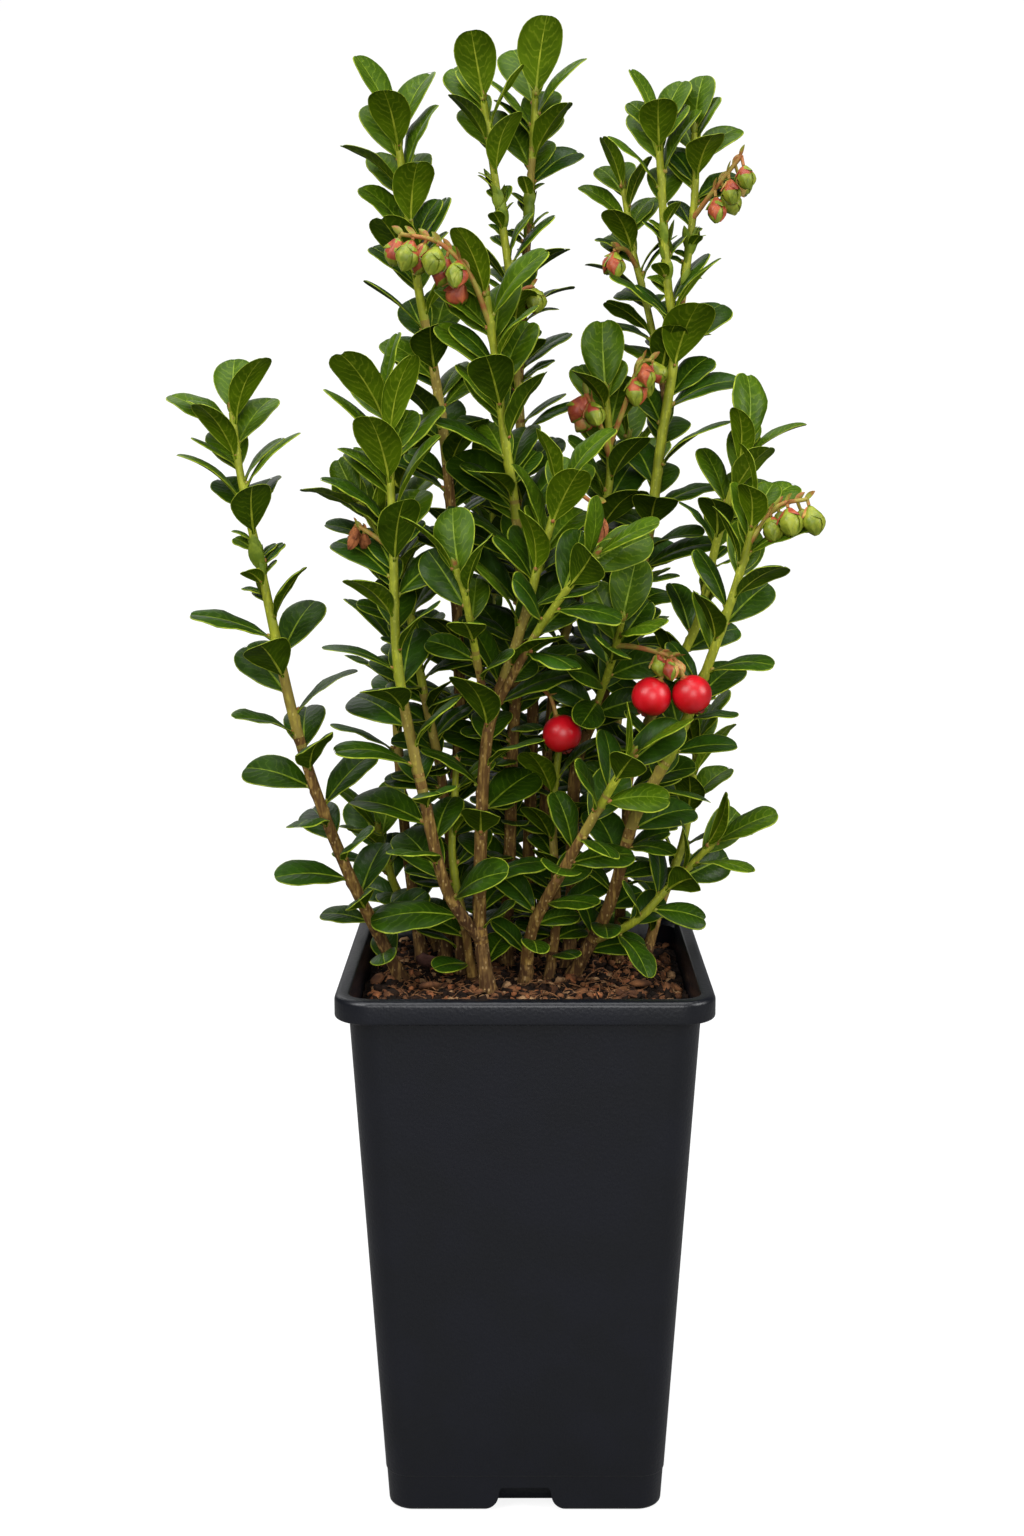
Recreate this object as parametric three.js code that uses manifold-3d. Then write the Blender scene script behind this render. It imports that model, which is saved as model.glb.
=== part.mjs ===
// A lingonberry in a deep square nursery pot, in millimetres, +Z up.
// The origin is the middle of the pot's flat underside. The front of the plant looks along -Y.
// Woody stems rise from the potting mix, and each ends where its leafy shoot begins. A shoot is one
// solid: its twigs, the leaves set round them in a spiral, and the flower buds and berries it bears.
import * as THREE from "three";
import { mergeVertices } from "three/addons/utils/BufferGeometryUtils.js";
import Module from "manifold-3d";

const wasm = await Module();
wasm.setup();

// Driving dimensions of the pot
const POT_HEIGHT = 133;
const RIM_WIDTH = 90;
const RIM_CORNER = 9;
const RIM_ROUNDING = 1;
const LIP_WIDTH = 3.6;
const SKIRT_HEIGHT = 5.6;
const BODY_TOP_WIDTH = 83.6;
const BODY_CORNER = 8;
const FOOT_WIDTH = 68;
const FOOT_CORNER = 6;
const FOOT_ROUNDING = 0.8;
const WALL = 1.2;
const FLOOR = 1.6;
const SEAM_HEIGHT = 9.4;
const SEAM_STEP = 0.35;
const CORNER_STEPS = 3;
const NOTCH_TOP_WIDTH = 12.4;
const NOTCH_FOOT_WIDTH = 20.6;
const NOTCH_HEIGHT = 6.1;
const NOTCH_DEPTH = 7;
const NOTCH_OVERRUN = 2;
const DRAIN_RADIUS = 3.5;
const DRAIN_OFFSET = 19;
const DRAIN_SIDES = 8;
const DRAIN_CUT = 6.4;

// Driving dimensions of the planting
const SOIL_TOP = 127;
const SOIL_EDGE_DROP = 1.5;
const CLEARANCE = 0.3;
const SEAT_GROWTH = 0.34;
const STEM_SIDES = 8;
const TWIG_SIDES = 3;
const WAY_STEP = 11;
const SHORTEST_STEP = 2.5;
const FLARE = 0.45;
const FLARE_LENGTH = 4;
const STALK_SIDES = 3;
const BERRY_STALK = 0.6;
const BERRY_RADIUS = 4.7;
const BUD_WIDTH_SHARE = 0.66;
const BUD_NOD = 0.75;
const BUD_SPREAD = 0.55;
const BUD_RUN = 0.55;
const BUD_SINK = 0.32;

// The rule that sets leaves round a twig
const GOLDEN_TURN = 137.5;
const TURN_JITTER = 12;
const LOW_PITCH = 50;
const TOP_PITCH = 24;
const PITCH_FALL = 1.4;
const PITCH_JITTER = 9;
const TIP_UPRIGHT = 0.45;
const ROLL_JITTER = 15;
const FRONT_ROLL = 20;
const SIZE_JITTER = 0.1;
const LEAF_WIDTH_SHARE = 0.58;
const PETIOLE_SHARE = 0.1;
const BLADE_RISE = 0.8;
const BLADE_FALL = 0.42;
const BLADE_MIDDLE = 0.55;
const BLADE_STATIONS = [0.55, 0.96];
const ROOT_SINK = 0.3;
const KEEL_PLACE = 0.24;
const KEEL_DEPTH = 1;
const LOW_DROOP = 0.26;
const TOP_DROOP = 0.15;
const DROOP_JITTER = 0.3;
const WAIST_SIZE = 0.42;
const WAIST_REACH = 9;
const TIP_CROWDING = 1.25;
const FIRST_LEAF = 0.6;
const SIDE_BARE = 5;
const FORK_BARE = 5;

// How far leaves keep from what is there already
const BLADE_GAP = 1.2;
const OWN_BLADE_GAP = 0.5;
const OUTLINE_GAP = 0.7;
const OUTLINE_END = 0.97;
const TWIG_GAP = 0.9;
const POT_GAP = 0.8;
const BEAD_SPACING = 2;
const TRIES = 7;
const TRY_TURN = 21;
const TRY_SHRINK = 0.04;
const PROBES_ALONG = [0.18, 0.3, 0.42, 0.54, 0.66, 0.78, 0.89, 0.98];
const PROBES_ACROSS = [-1, -0.5, 0, 0.5, 1];

// Steps between the seeds of one shoot and the next, one twig and the next, one leaf and the next
const SHOOT_SEED = 1009;
const TWIG_SEED = 131;
const LEAF_SEED = 97;

// Slivers smaller than this are closed up, and corners nearer than this are one
const FINEST_EDGE = 0.05;
const SAME_POINT = 1e-4;
const UP = new THREE.Vector3(0, 0, 1);

// The shoots, front ones first. foot is the length of the bare woody stem, and a shoot with a carrier
// leaves that stem's side at a height instead. way is the middle line, radius runs from root to tip,
// leaf is the leaf's length low, midway and at the tip, turn is the tip leaf's direction seen from
// above, and waist is where a year's growth began with tiny leaves. A truss bears buds and berries.
const SHOOTS = [
  {
    name: "front", foot: 24, way: [[-9, -15, 127.3], [-11, -15, 143], [-11, -15, 158], [-10, -15, 182],
      [-8, -15, 196], [-1, -17, 217], [4, -18, 235], [9, -18, 251]],
    radius: [2.1, 0.8], leaf: [17, 20, 18], leaves: 22, turn: 3,
    forks: [
      { height: 197, way: [[3, -22, 217], [12, -26, 230], [16, -28, 235]],
        radius: [1.3, 0.7], leaf: [13, 17, 18], leaves: 11, turn: 315 },
      { height: 193, way: [[-12, -23, 214], [-14, -27, 226], [-16, -28, 232]],
        radius: [1.2, 0.7], leaf: [13, 16, 17], leaves: 9, turn: 225 },
    ],
    trusses: [{ twig: 0, height: 244, way: [[12, -19, 249], [16, -20, 247]], buds: 1, size: 8 }],
  },
  {
    name: "front_left", carrier: "front", height: 140, way: [[-19, -19, 154], [-24, -21, 176],
      [-30, -22, 208], [-31, -21, 238], [-32, -18, 260], [-33, -17, 269]],
    radius: [1.8, 0.75], leaf: [19, 19, 20], leaves: 31, turn: 0,
    trusses: [{ twig: 0, height: 236, way: [[-35, -20, 239], [-40, -18, 242]], buds: 3, size: 4.5 }],
  },
  {
    name: "far_left", foot: 22, way: [[-31, -4, 127.3], [-44, -12, 158], [-54, -18, 190], [-62, -20, 230],
      [-67, -17, 253], [-69, -15, 268]],
    radius: [1.9, 0.75], leaf: [17, 19, 18], leaves: 30, turn: 90, waist: 229, pitch: [50, 34],
  },
  {
    name: "centre", foot: 17, way: [[0, -7, 127.3], [2, -12, 143], [11, -19, 162], [21, -25, 181],
      [25, -27, 188]],
    radius: [1.9, 0.8], leaf: [16, 16, 17], leaves: 15, turn: 315,
  },
  {
    name: "right", foot: 30, way: [[12, 0, 127.3], [21, -6, 147], [27, -10, 170], [37, -14, 190],
      [46.5, -17, 216], [52.5, -18, 236], [54.5, -18, 245]],
    radius: [2, 0.8], leaf: [17, 17, 16], leaves: 25, turn: 180,
    trusses: [{ twig: 0, height: 237, way: [[59, -20, 246], [66, -22, 248]], buds: 5, size: 6 }],
  },
  {
    name: "low_right", carrier: "right", height: 137,
    way: [[27, -9, 143.5], [36, -10, 153], [46, -12, 164]],
    radius: [1.3, 0.7], leaf: [14, 15, 17], leaves: 12, turn: 0,
  },
  {
    name: "right_tall", foot: 68, way: [[11, 6, 127.3], [12, 8, 145], [13, 11, 179], [20, 12, 198],
      [30, 12, 233], [34, 11, 262], [37, 10, 285], [35, 9, 299], [33, 8, 324], [32, 7, 336]],
    radius: [2.1, 0.8], leaf: [19, 20, 17], leaves: 32, turn: 180, waist: 304,
    forks: [
      { height: 284, way: [[40, 11, 306], [41.5, 10, 323], [41, 9, 335]],
        radius: [1.2, 0.75], leaf: [10, 15, 18], leaves: 14, turn: 90, waist: 303 },
      { height: 270, way: [[31, 17, 292], [27, 19, 308], [24.5, 19, 323]],
        radius: [1.1, 0.7], leaf: [18, 15, 14], leaves: 14, turn: 225 },
    ],
    trusses: [
      { twig: 1, height: 315, way: [[47, 5, 323], [52, 4, 329]], buds: 5, size: 6 },
      { twig: 2, height: 304, way: [[25, 15, 308], [22, 12, 308]], buds: 2, size: 5.5 },
    ],
  },
  {
    name: "mid_left", foot: 34, way: [[-5, 12, 127.3], [-4, 10, 155], [-3, 5, 187], [-1, 0, 218],
      [-2, -4, 242], [-5, -6, 263], [-7, -8, 280], [-9, -10, 295]],
    radius: [2, 0.8], leaf: [18, 21, 19], leaves: 31, turn: 270,
    trusses: [
      { twig: 0, height: 288, way: [[-13, -13, 300], [-20, -14, 307], [-29, -14, 309]], buds: 7, size: 6.5 },
      { twig: 0, height: 200, way: [[2, -4, 203], [6, -9, 200]], berries: [[9, -11, 191]] },
    ],
  },
  {
    name: "tall", foot: 60, way: [[2, 22, 127.3], [1, 22, 155], [2, 20, 195], [0, 18, 232], [-1, 16, 262],
      [-2, 16, 277], [-4, 15, 303], [-8, 14, 329], [-10, 13, 343]],
    radius: [2, 0.75], leaf: [18, 17, 16], leaves: 31, turn: 270, waist: 316,
    forks: [
      { height: 272, way: [[-0.5, 19, 296], [1, 20, 317], [2.5, 20, 345]],
        radius: [1.3, 0.75], leaf: [16, 16, 19], leaves: 19, turn: 270, waist: 314 },
    ],
    trusses: [{ twig: 0, height: 293, way: [[-1, 13, 298], [2, 12, 299]], buds: 1, size: 5.5 }],
  },
  {
    name: "left_tall", foot: 40, way: [[-21, 14, 127.3], [-19, 15, 154], [-17, 15, 186], [-17, 14, 212],
      [-19, 12, 250], [-22, 10, 276], [-26, 8, 298], [-29, 6, 321], [-31, 5, 336]],
    radius: [2, 0.8], leaf: [17, 19, 19], leaves: 36, turn: 180,
  },
  {
    name: "budded", foot: 46, way: [[5, 15.5, 127.3], [4.5, 16.5, 154], [8, 15, 203], [20, 13, 245],
      [21, 12, 261], [20, 10, 273]],
    radius: [1.7, 0.8], leaf: [17, 18, 18], leaves: 22, turn: 90,
    trusses: [
      { twig: 0, height: 260, way: [[25, 9, 271], [28, 6, 280], [31, 5, 281]], buds: 4, size: 6 },
      { twig: 0, height: 257, way: [[18, 8, 267], [15, 6, 273]], buds: 3, size: 6 },
    ],
  },
  {
    name: "right_mid", foot: 32, way: [[24, 15, 127.3], [26, 13, 162], [27, 10, 179], [35, 6, 200],
      [43, 4, 217], [47.5, 2, 238], [54, 0, 260]],
    radius: [1.7, 0.8], leaf: [17, 15, 17], leaves: 25, turn: 135, waist: 224,
  },
  {
    name: "berried", carrier: "right_tall", height: 188,
    way: [[18, -3, 198], [21, -13, 209], [23, -19, 219]],
    radius: [1.2, 0.7], leaf: [14, 17, 18], leaves: 14, turn: 225,
    trusses: [{ twig: 0, height: 213, way: [[27, -20, 213], [35, -22, 211]], buds: 4, size: 4.5,
      berries: [[30, -22, 201.5], [39.6, -22, 202]] }],
  },
  {
    name: "left_behind", foot: 38, way: [[-16, 3, 127.3], [-20, 1, 172], [-25, -2, 200], [-29, -4, 223],
      [-34, -6, 237], [-40, -8, 247]],
    radius: [1.6, 0.75], leaf: [16, 16, 16], leaves: 19, turn: 0,
  },
  {
    name: "back_left", foot: 11, way: [[-23, 27, 127.3], [-27, 26, 135], [-33, 23, 143], [-36, 20, 152],
      [-38, 18, 161]],
    radius: [1.6, 0.75], leaf: [15, 17, 17], leaves: 10, turn: 180,
  },
  {
    name: "back_middle", foot: 16, way: [[-6, 32, 127.3], [-7, 36, 165], [-9, 39, 210], [-8, 40, 246]],
    radius: [1.9, 0.75], leaf: [17, 18, 19], leaves: 22, turn: 270,
  },
  {
    name: "back_right", foot: 14, way: [[16, 30, 127.3], [22, 34, 165], [26, 36, 210], [27, 37, 262]],
    radius: [1.9, 0.75], leaf: [17, 18, 19], leaves: 23, turn: 225,
  },
  {
    name: "back_far_left", foot: 14, way: [[-27, 16, 127.3], [-32, 24, 165], [-34, 28, 205], [-33, 30, 252]],
    radius: [1.8, 0.75], leaf: [17, 18, 18], leaves: 22, turn: 90,
  },
  {
    name: "back_low", foot: 9, way: [[6, 37, 127.3], [7, 42, 140], [9, 48, 156], [10, 52, 176]],
    radius: [1.5, 0.7], leaf: [15, 17, 17], leaves: 12, turn: 90,
  },
  {
    name: "right_low", foot: 12, way: [[31, 14, 127.3], [36, 18, 143], [42, 22, 160], [45, 24, 184]],
    radius: [1.6, 0.7], leaf: [15, 17, 17], leaves: 13, turn: 0,
  },
  {
    name: "middle_low", foot: 10, way: [[6, -3, 127.3], [8, -2, 145], [7, 2, 170], [10, 3, 196]],
    radius: [1.5, 0.7], leaf: [15, 16, 17], leaves: 16, turn: 135,
  },
  {
    name: "left_low", foot: 9, way: [[-13, -6, 127.3], [-15, -8, 142], [-18, -8, 160], [-17, -6, 182]],
    radius: [1.4, 0.7], leaf: [13, 14, 15], leaves: 12, turn: 225,
  },
];

// Colours and finishes
const MATERIALS = {
  plastic: new THREE.MeshStandardMaterial({ color: 0x22252a, roughness: 0.55, metalness: 0 }),
  mix: new THREE.MeshStandardMaterial({ color: 0x3b2418, roughness: 0.95, metalness: 0 }),
  bark: new THREE.MeshStandardMaterial({ color: 0x7a5b35, roughness: 0.8, metalness: 0 }),
  leaf: new THREE.MeshStandardMaterial({
    color: 0x2c4f24, roughness: 0.45, metalness: 0, flatShading: true,
  }),
};

// A repeatable source of numbers from 0 to 1
function seeded(seed) {
  let state = seed >>> 0;
  return () => {
    state = (state + 0x6d2b79f5) >>> 0;
    let value = Math.imul(state ^ (state >>> 15), 1 | state);
    value = (value + Math.imul(value ^ (value >>> 7), 61 | value)) ^ value;
    return ((value ^ (value >>> 14)) >>> 0) / 4294967296;
  };
}

const mix = (a, b, share) => a + (b - a) * share;
const radians = (degrees) => (degrees * Math.PI) / 180;
const vector = (point) => new THREE.Vector3(...point);

// A stem's middle line, with its points and directions found by the distance along it
class Way {
  constructor(points) {
    const curve = new THREE.CatmullRomCurve3(points, false, "catmullrom", 0.5);
    const chords = points.slice(1).reduce((sum, point, i) => sum + point.distanceTo(points[i]), 0);
    this.count = Math.max(2, Math.ceil(chords / WAY_STEP));
    this.points = [];
    this.reach = [0];
    for (let i = 0; i <= this.count; i += 1) {
      this.points.push(curve.getPoint(i / this.count));
      if (i > 0) this.reach.push(this.reach[i - 1] + this.points[i].distanceTo(this.points[i - 1]));
    }
    this.length = this.reach[this.count];
  }

  span(distance) {
    let i = 1;
    while (i < this.count && this.reach[i] < distance) i += 1;
    return i;
  }

  at(distance) {
    const i = this.span(distance);
    const share = (distance - this.reach[i - 1]) / (this.reach[i] - this.reach[i - 1]);
    return this.points[i - 1].clone().lerp(this.points[i], share);
  }

  direction(distance) {
    const i = this.span(distance);
    const share = (distance - this.reach[i - 1]) / (this.reach[i] - this.reach[i - 1]);
    return this.bend(i - 1).lerp(this.bend(i), share).normalize();
  }

  // The direction at one of the way's own points
  bend(i) {
    const from = this.points[Math.max(i - 1, 0)];
    const to = this.points[Math.min(i + 1, this.count)];
    return to.clone().sub(from).normalize();
  }

  atHeight(height) {
    const i = this.points.findIndex((point) => point.z >= height);
    const share = (height - this.points[i - 1].z) / (this.points[i].z - this.points[i - 1].z);
    return this.points[i - 1].clone().lerp(this.points[i], share);
  }
}

// Two directions square to a stem's own: the first leans to +X, the second to +Y
function crossAxes(direction) {
  const first = new THREE.Vector3(1, 0, 0).addScaledVector(direction, -direction.x).normalize();
  return [first, direction.clone().cross(first)];
}

// Joins rings of points, all with one count, into a closed surface. The last ring may be one point.
function loft(rings) {
  const sides = rings[0].length;
  const positions = rings.flat().flatMap((point) => point.toArray());
  const faces = [];
  for (let i = 1; i < rings.length; i += 1) {
    const below = (i - 1) * sides;
    for (let k = 0; k < sides; k += 1) {
      const next = (k + 1) % sides;
      if (rings[i].length === 1) {
        faces.push(below + k, below + next, below + sides);
      } else {
        faces.push(below + k, below + next, below + sides + next);
        faces.push(below + k, below + sides + next, below + sides + k);
      }
    }
  }
  for (let k = 1; k + 1 < sides; k += 1) faces.push(0, k + 1, k);
  const last = (rings.length - 1) * sides;
  for (let k = 1; k + 1 < rings[rings.length - 1].length; k += 1) faces.push(last, last + k, last + k + 1);
  const geometry = new THREE.BufferGeometry();
  geometry.setAttribute("position", new THREE.Float32BufferAttribute(positions, 3));
  geometry.setIndex(faces);
  return geometry;
}

function solid(geometry) {
  const bare = geometry.clone();
  bare.deleteAttribute("normal");
  bare.deleteAttribute("uv");
  const merged = mergeVertices(bare, SAME_POINT);
  return new wasm.Manifold(new wasm.Mesh({
    numProp: 3,
    vertProperties: merged.attributes.position.array,
    triVerts: new Uint32Array(merged.index.array),
  }));
}

const joined = (solids) => wasm.Manifold.union(solids);

// The shape's triangles, without slivers and loose scraps
function geometryOf(shape) {
  const pieces = shape.simplify(FINEST_EDGE).decompose();
  const mesh = pieces.reduce((best, piece) => (piece.volume() > best.volume() ? piece : best)).getMesh();
  const geometry = new THREE.BufferGeometry();
  geometry.setAttribute("position", new THREE.BufferAttribute(new Float32Array(mesh.vertProperties), 3));
  geometry.setIndex(new THREE.BufferAttribute(new Uint32Array(mesh.triVerts), 1));
  return geometry;
}

// A square ring with round corners, level at a height
function roundedSquare(width, corner, height) {
  const reach = width / 2 - corner;
  const ring = [];
  for (let quarter = 0; quarter < 4; quarter += 1) {
    const middle = new THREE.Vector3(reach, reach, height).applyAxisAngle(UP, (quarter * Math.PI) / 2);
    for (let i = 0; i <= CORNER_STEPS; i += 1) {
      const angle = ((quarter + i / CORNER_STEPS) * Math.PI) / 2;
      const edge = new THREE.Vector3(Math.cos(angle) * corner, Math.sin(angle) * corner, 0);
      ring.push(middle.clone().add(edge));
    }
  }
  return ring;
}

const bodyShare = (height) => height / (POT_HEIGHT - SKIRT_HEIGHT);
const bodyWidth = (height) => mix(FOOT_WIDTH, BODY_TOP_WIDTH, bodyShare(height));
const bodyCorner = (height) => mix(FOOT_CORNER, BODY_CORNER, bodyShare(height));

// The wedge under a side of the pot that lets water run out, made larger all round by grow
function notch(grow) {
  const foot = NOTCH_FOOT_WIDTH / 2 + grow;
  const top = NOTCH_TOP_WIDTH / 2 + grow;
  const rise = NOTCH_HEIGHT + grow;
  const bow = (foot - top) / 4;
  const profile = new THREE.Shape();
  profile.moveTo(-foot, -rise);
  profile.lineTo(foot, -rise);
  profile.lineTo(foot, 0);
  profile.bezierCurveTo(foot - bow, rise / 6, top + bow * 2, rise / 2, top + bow, rise * 0.8);
  profile.lineTo(top - bow / 2, rise);
  profile.lineTo(bow / 2 - top, rise);
  profile.lineTo(-top - bow, rise * 0.8);
  profile.bezierCurveTo(-top - bow * 2, rise / 2, bow - foot, rise / 6, -foot, 0);
  const depth = NOTCH_DEPTH + grow + NOTCH_OVERRUN;
  return new THREE.ExtrudeGeometry(profile, { depth, bevelEnabled: false, curveSegments: 3 })
    .rotateX(Math.PI / 2)
    .translate(0, depth - FOOT_WIDTH / 2 - NOTCH_OVERRUN, 0);
}

function notches(grow) {
  return joined([0, 1, 2, 3].map((side) => solid(notch(grow).rotateZ((side * Math.PI) / 2))));
}

// The room inside the pot, kept clear of its walls and floor by gap
function cavity(gap, top) {
  const ring = (height) => roundedSquare(
    bodyWidth(height) - 2 * (WALL + gap), bodyCorner(height) - WALL, height);
  return solid(loft([ring(FLOOR + gap), ring(top)]));
}

function drains() {
  const holes = [];
  for (const x of [-DRAIN_OFFSET, DRAIN_OFFSET]) {
    for (const y of [-DRAIN_OFFSET, DRAIN_OFFSET]) {
      const hole = new THREE.CylinderGeometry(DRAIN_RADIUS, DRAIN_RADIUS, DRAIN_CUT, DRAIN_SIDES);
      holes.push(solid(hole.rotateX(Math.PI / 2).translate(x, y, 0)));
    }
  }
  return joined(holes);
}

function makePot() {
  const skirtFoot = POT_HEIGHT - SKIRT_HEIGHT;
  const ring = (height, inset) => roundedSquare(bodyWidth(height) - 2 * inset, bodyCorner(height), height);
  const body = solid(loft([
    ring(0, SEAM_STEP + FOOT_ROUNDING),
    ring(FOOT_ROUNDING, SEAM_STEP),
    ring(SEAM_HEIGHT, SEAM_STEP),
    ring(SEAM_HEIGHT + SEAM_STEP, 0),
    ring(POT_HEIGHT - WALL / 2, 0),
  ]));
  const rimRing = (inset, height) => roundedSquare(RIM_WIDTH - 2 * inset, RIM_CORNER - inset, height);
  const rim = solid(loft([
    rimRing(0, skirtFoot),
    rimRing(0, POT_HEIGHT - RIM_ROUNDING),
    rimRing(RIM_ROUNDING / 3, POT_HEIGHT - RIM_ROUNDING / 3),
    rimRing(RIM_ROUNDING, POT_HEIGHT),
  ]));
  const underRim = solid(loft([rimRing(WALL, skirtFoot - WALL), rimRing(WALL, POT_HEIGHT - WALL)]));
  const mouth = solid(loft([rimRing(LIP_WIDTH, skirtFoot), rimRing(LIP_WIDTH, POT_HEIGHT + WALL)]));
  return body
    .add(rim.subtract(underRim))
    .subtract(cavity(0, POT_HEIGHT - WALL))
    .subtract(mouth)
    .add(notches(WALL).intersect(body))
    .subtract(notches(0))
    .subtract(drains());
}

function makePottingMix() {
  const edge = SOIL_TOP - SOIL_EDGE_DROP;
  const ring = (height, inset) => roundedSquare(
    bodyWidth(height) - 2 * (WALL + CLEARANCE + inset), bodyCorner(height) - WALL, height);
  const plug = solid(loft([ring(FLOOR + CLEARANCE, 0), ring(edge, 0), ring(SOIL_TOP, 2 * SOIL_EDGE_DROP)]));
  return plug.subtract(notches(WALL + CLEARANCE));
}

// A stem's rings between two distances along its way, one at each point of the way
function stemRings(way, from, to, sides, radiusAt) {
  const between = way.reach.filter((reach) => reach > from + SHORTEST_STEP && reach < to - SHORTEST_STEP);
  const rings = [];
  for (const distance of [from, ...between, to]) {
    const middle = way.at(distance);
    const [first, second] = crossAxes(way.direction(distance));
    const radius = radiusAt(distance);
    const ring = [];
    for (let k = 0; k < sides; k += 1) {
      const angle = (2 * Math.PI * (k + 0.5)) / sides;
      ring.push(middle.clone()
        .addScaledVector(first, Math.cos(angle) * radius)
        .addScaledVector(second, Math.sin(angle) * radius));
    }
    rings.push(ring);
  }
  return rings;
}

// Slides a ring's points along the stem's direction until they all lie level at a height
function levelRing(ring, direction, height) {
  return ring.map((point) => point.clone().addScaledVector(direction, (height - point.z) / direction.z));
}

// The share of a leaf's full half width at a share of the way from its root to its tip
function bladeWidth(along) {
  const share = (along - PETIOLE_SHARE) / (1 - PETIOLE_SHARE);
  if (share <= 0 || share >= 1) return 0;
  const peak = BLADE_RISE / (BLADE_RISE + BLADE_FALL);
  const fullest = peak ** BLADE_RISE * (1 - peak) ** BLADE_FALL;
  return (share ** BLADE_RISE * (1 - share) ** BLADE_FALL) / fullest;
}

// A leaf's place and shape. Its root is on the twig's middle line. It runs along, across by side, and
// its upper face looks to up. Droop bends it down towards the tip.
class Leaf {
  constructor(owner, root, direction, turn, pitch, roll, length, droop) {
    const [first, second] = crossAxes(direction);
    const out = first.multiplyScalar(Math.cos(turn)).addScaledVector(second, Math.sin(turn));
    this.owner = owner;
    this.root = root;
    this.length = length;
    this.half = (length * LEAF_WIDTH_SHARE) / 2;
    this.droop = droop;
    this.along = direction.clone().multiplyScalar(Math.cos(pitch)).addScaledVector(out, Math.sin(pitch));
    const up = direction.clone().multiplyScalar(Math.sin(pitch)).addScaledVector(out, -Math.cos(pitch));
    const side = this.along.clone().cross(up);
    const twist = roll - radians(FRONT_ROLL) * side.y;
    this.up = up.multiplyScalar(Math.cos(twist)).addScaledVector(side, Math.sin(twist));
    this.side = this.along.clone().cross(this.up);
    this.middle = this.point(BLADE_MIDDLE, 0, 0);
    this.probes = [];
    for (const along of PROBES_ALONG) {
      for (const across of PROBES_ACROSS) {
        this.probes.push(this.point(along, across * this.half * bladeWidth(along), 0));
      }
    }
  }

  // A point at a share of the length, and in millimetres across and up from the arched blade
  point(along, across, lift) {
    return this.root.clone()
      .addScaledVector(this.along, along * this.length)
      .addScaledVector(this.side, across)
      .addScaledVector(this.up, lift - this.droop * this.length * along * along);
  }

  // True if a point lies in the blade, or no further from its face than gap
  touches(point, gap) {
    const from = point.clone().sub(this.root);
    const along = from.dot(this.along) / this.length;
    if (along < PETIOLE_SHARE || along > 1 + OUTLINE_GAP / this.length) return false;
    const outline = this.half * bladeWidth(Math.min(along, OUTLINE_END)) + OUTLINE_GAP;
    if (Math.abs(from.dot(this.side)) > outline) return false;
    return Math.abs(from.dot(this.up) + this.droop * this.length * along * along) < gap;
  }

  meets(other) {
    const gap = this.owner === other.owner ? OWN_BLADE_GAP : BLADE_GAP;
    if (this.middle.distanceTo(other.middle) > (this.length + other.length) / 2 + OUTLINE_GAP) return false;
    return this.probes.some((probe) => other.touches(probe, gap))
      || other.probes.some((probe) => this.touches(probe, gap));
  }

  // Eight faces: a flat blade of five corners, blunt at its tip, with one corner below it for the midrib
  geometry() {
    const corners = BLADE_STATIONS.flatMap((along) => {
      const half = this.half * bladeWidth(along);
      return [this.point(along, -half, 0), this.point(along, half, 0)];
    });
    const root = this.point(-ROOT_SINK / this.length, 0, 0);
    const keel = this.point(KEEL_PLACE, 0, -KEEL_DEPTH);
    const positions = [root, ...corners, keel].flatMap((point) => point.toArray());
    const geometry = new THREE.BufferGeometry();
    geometry.setAttribute("position", new THREE.Float32BufferAttribute(positions, 3));
    geometry.setIndex([0, 2, 1, 1, 2, 4, 1, 4, 3, 2, 0, 5, 4, 2, 5, 3, 4, 5, 1, 3, 5, 0, 1, 5]);
    return geometry;
  }
}

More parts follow.
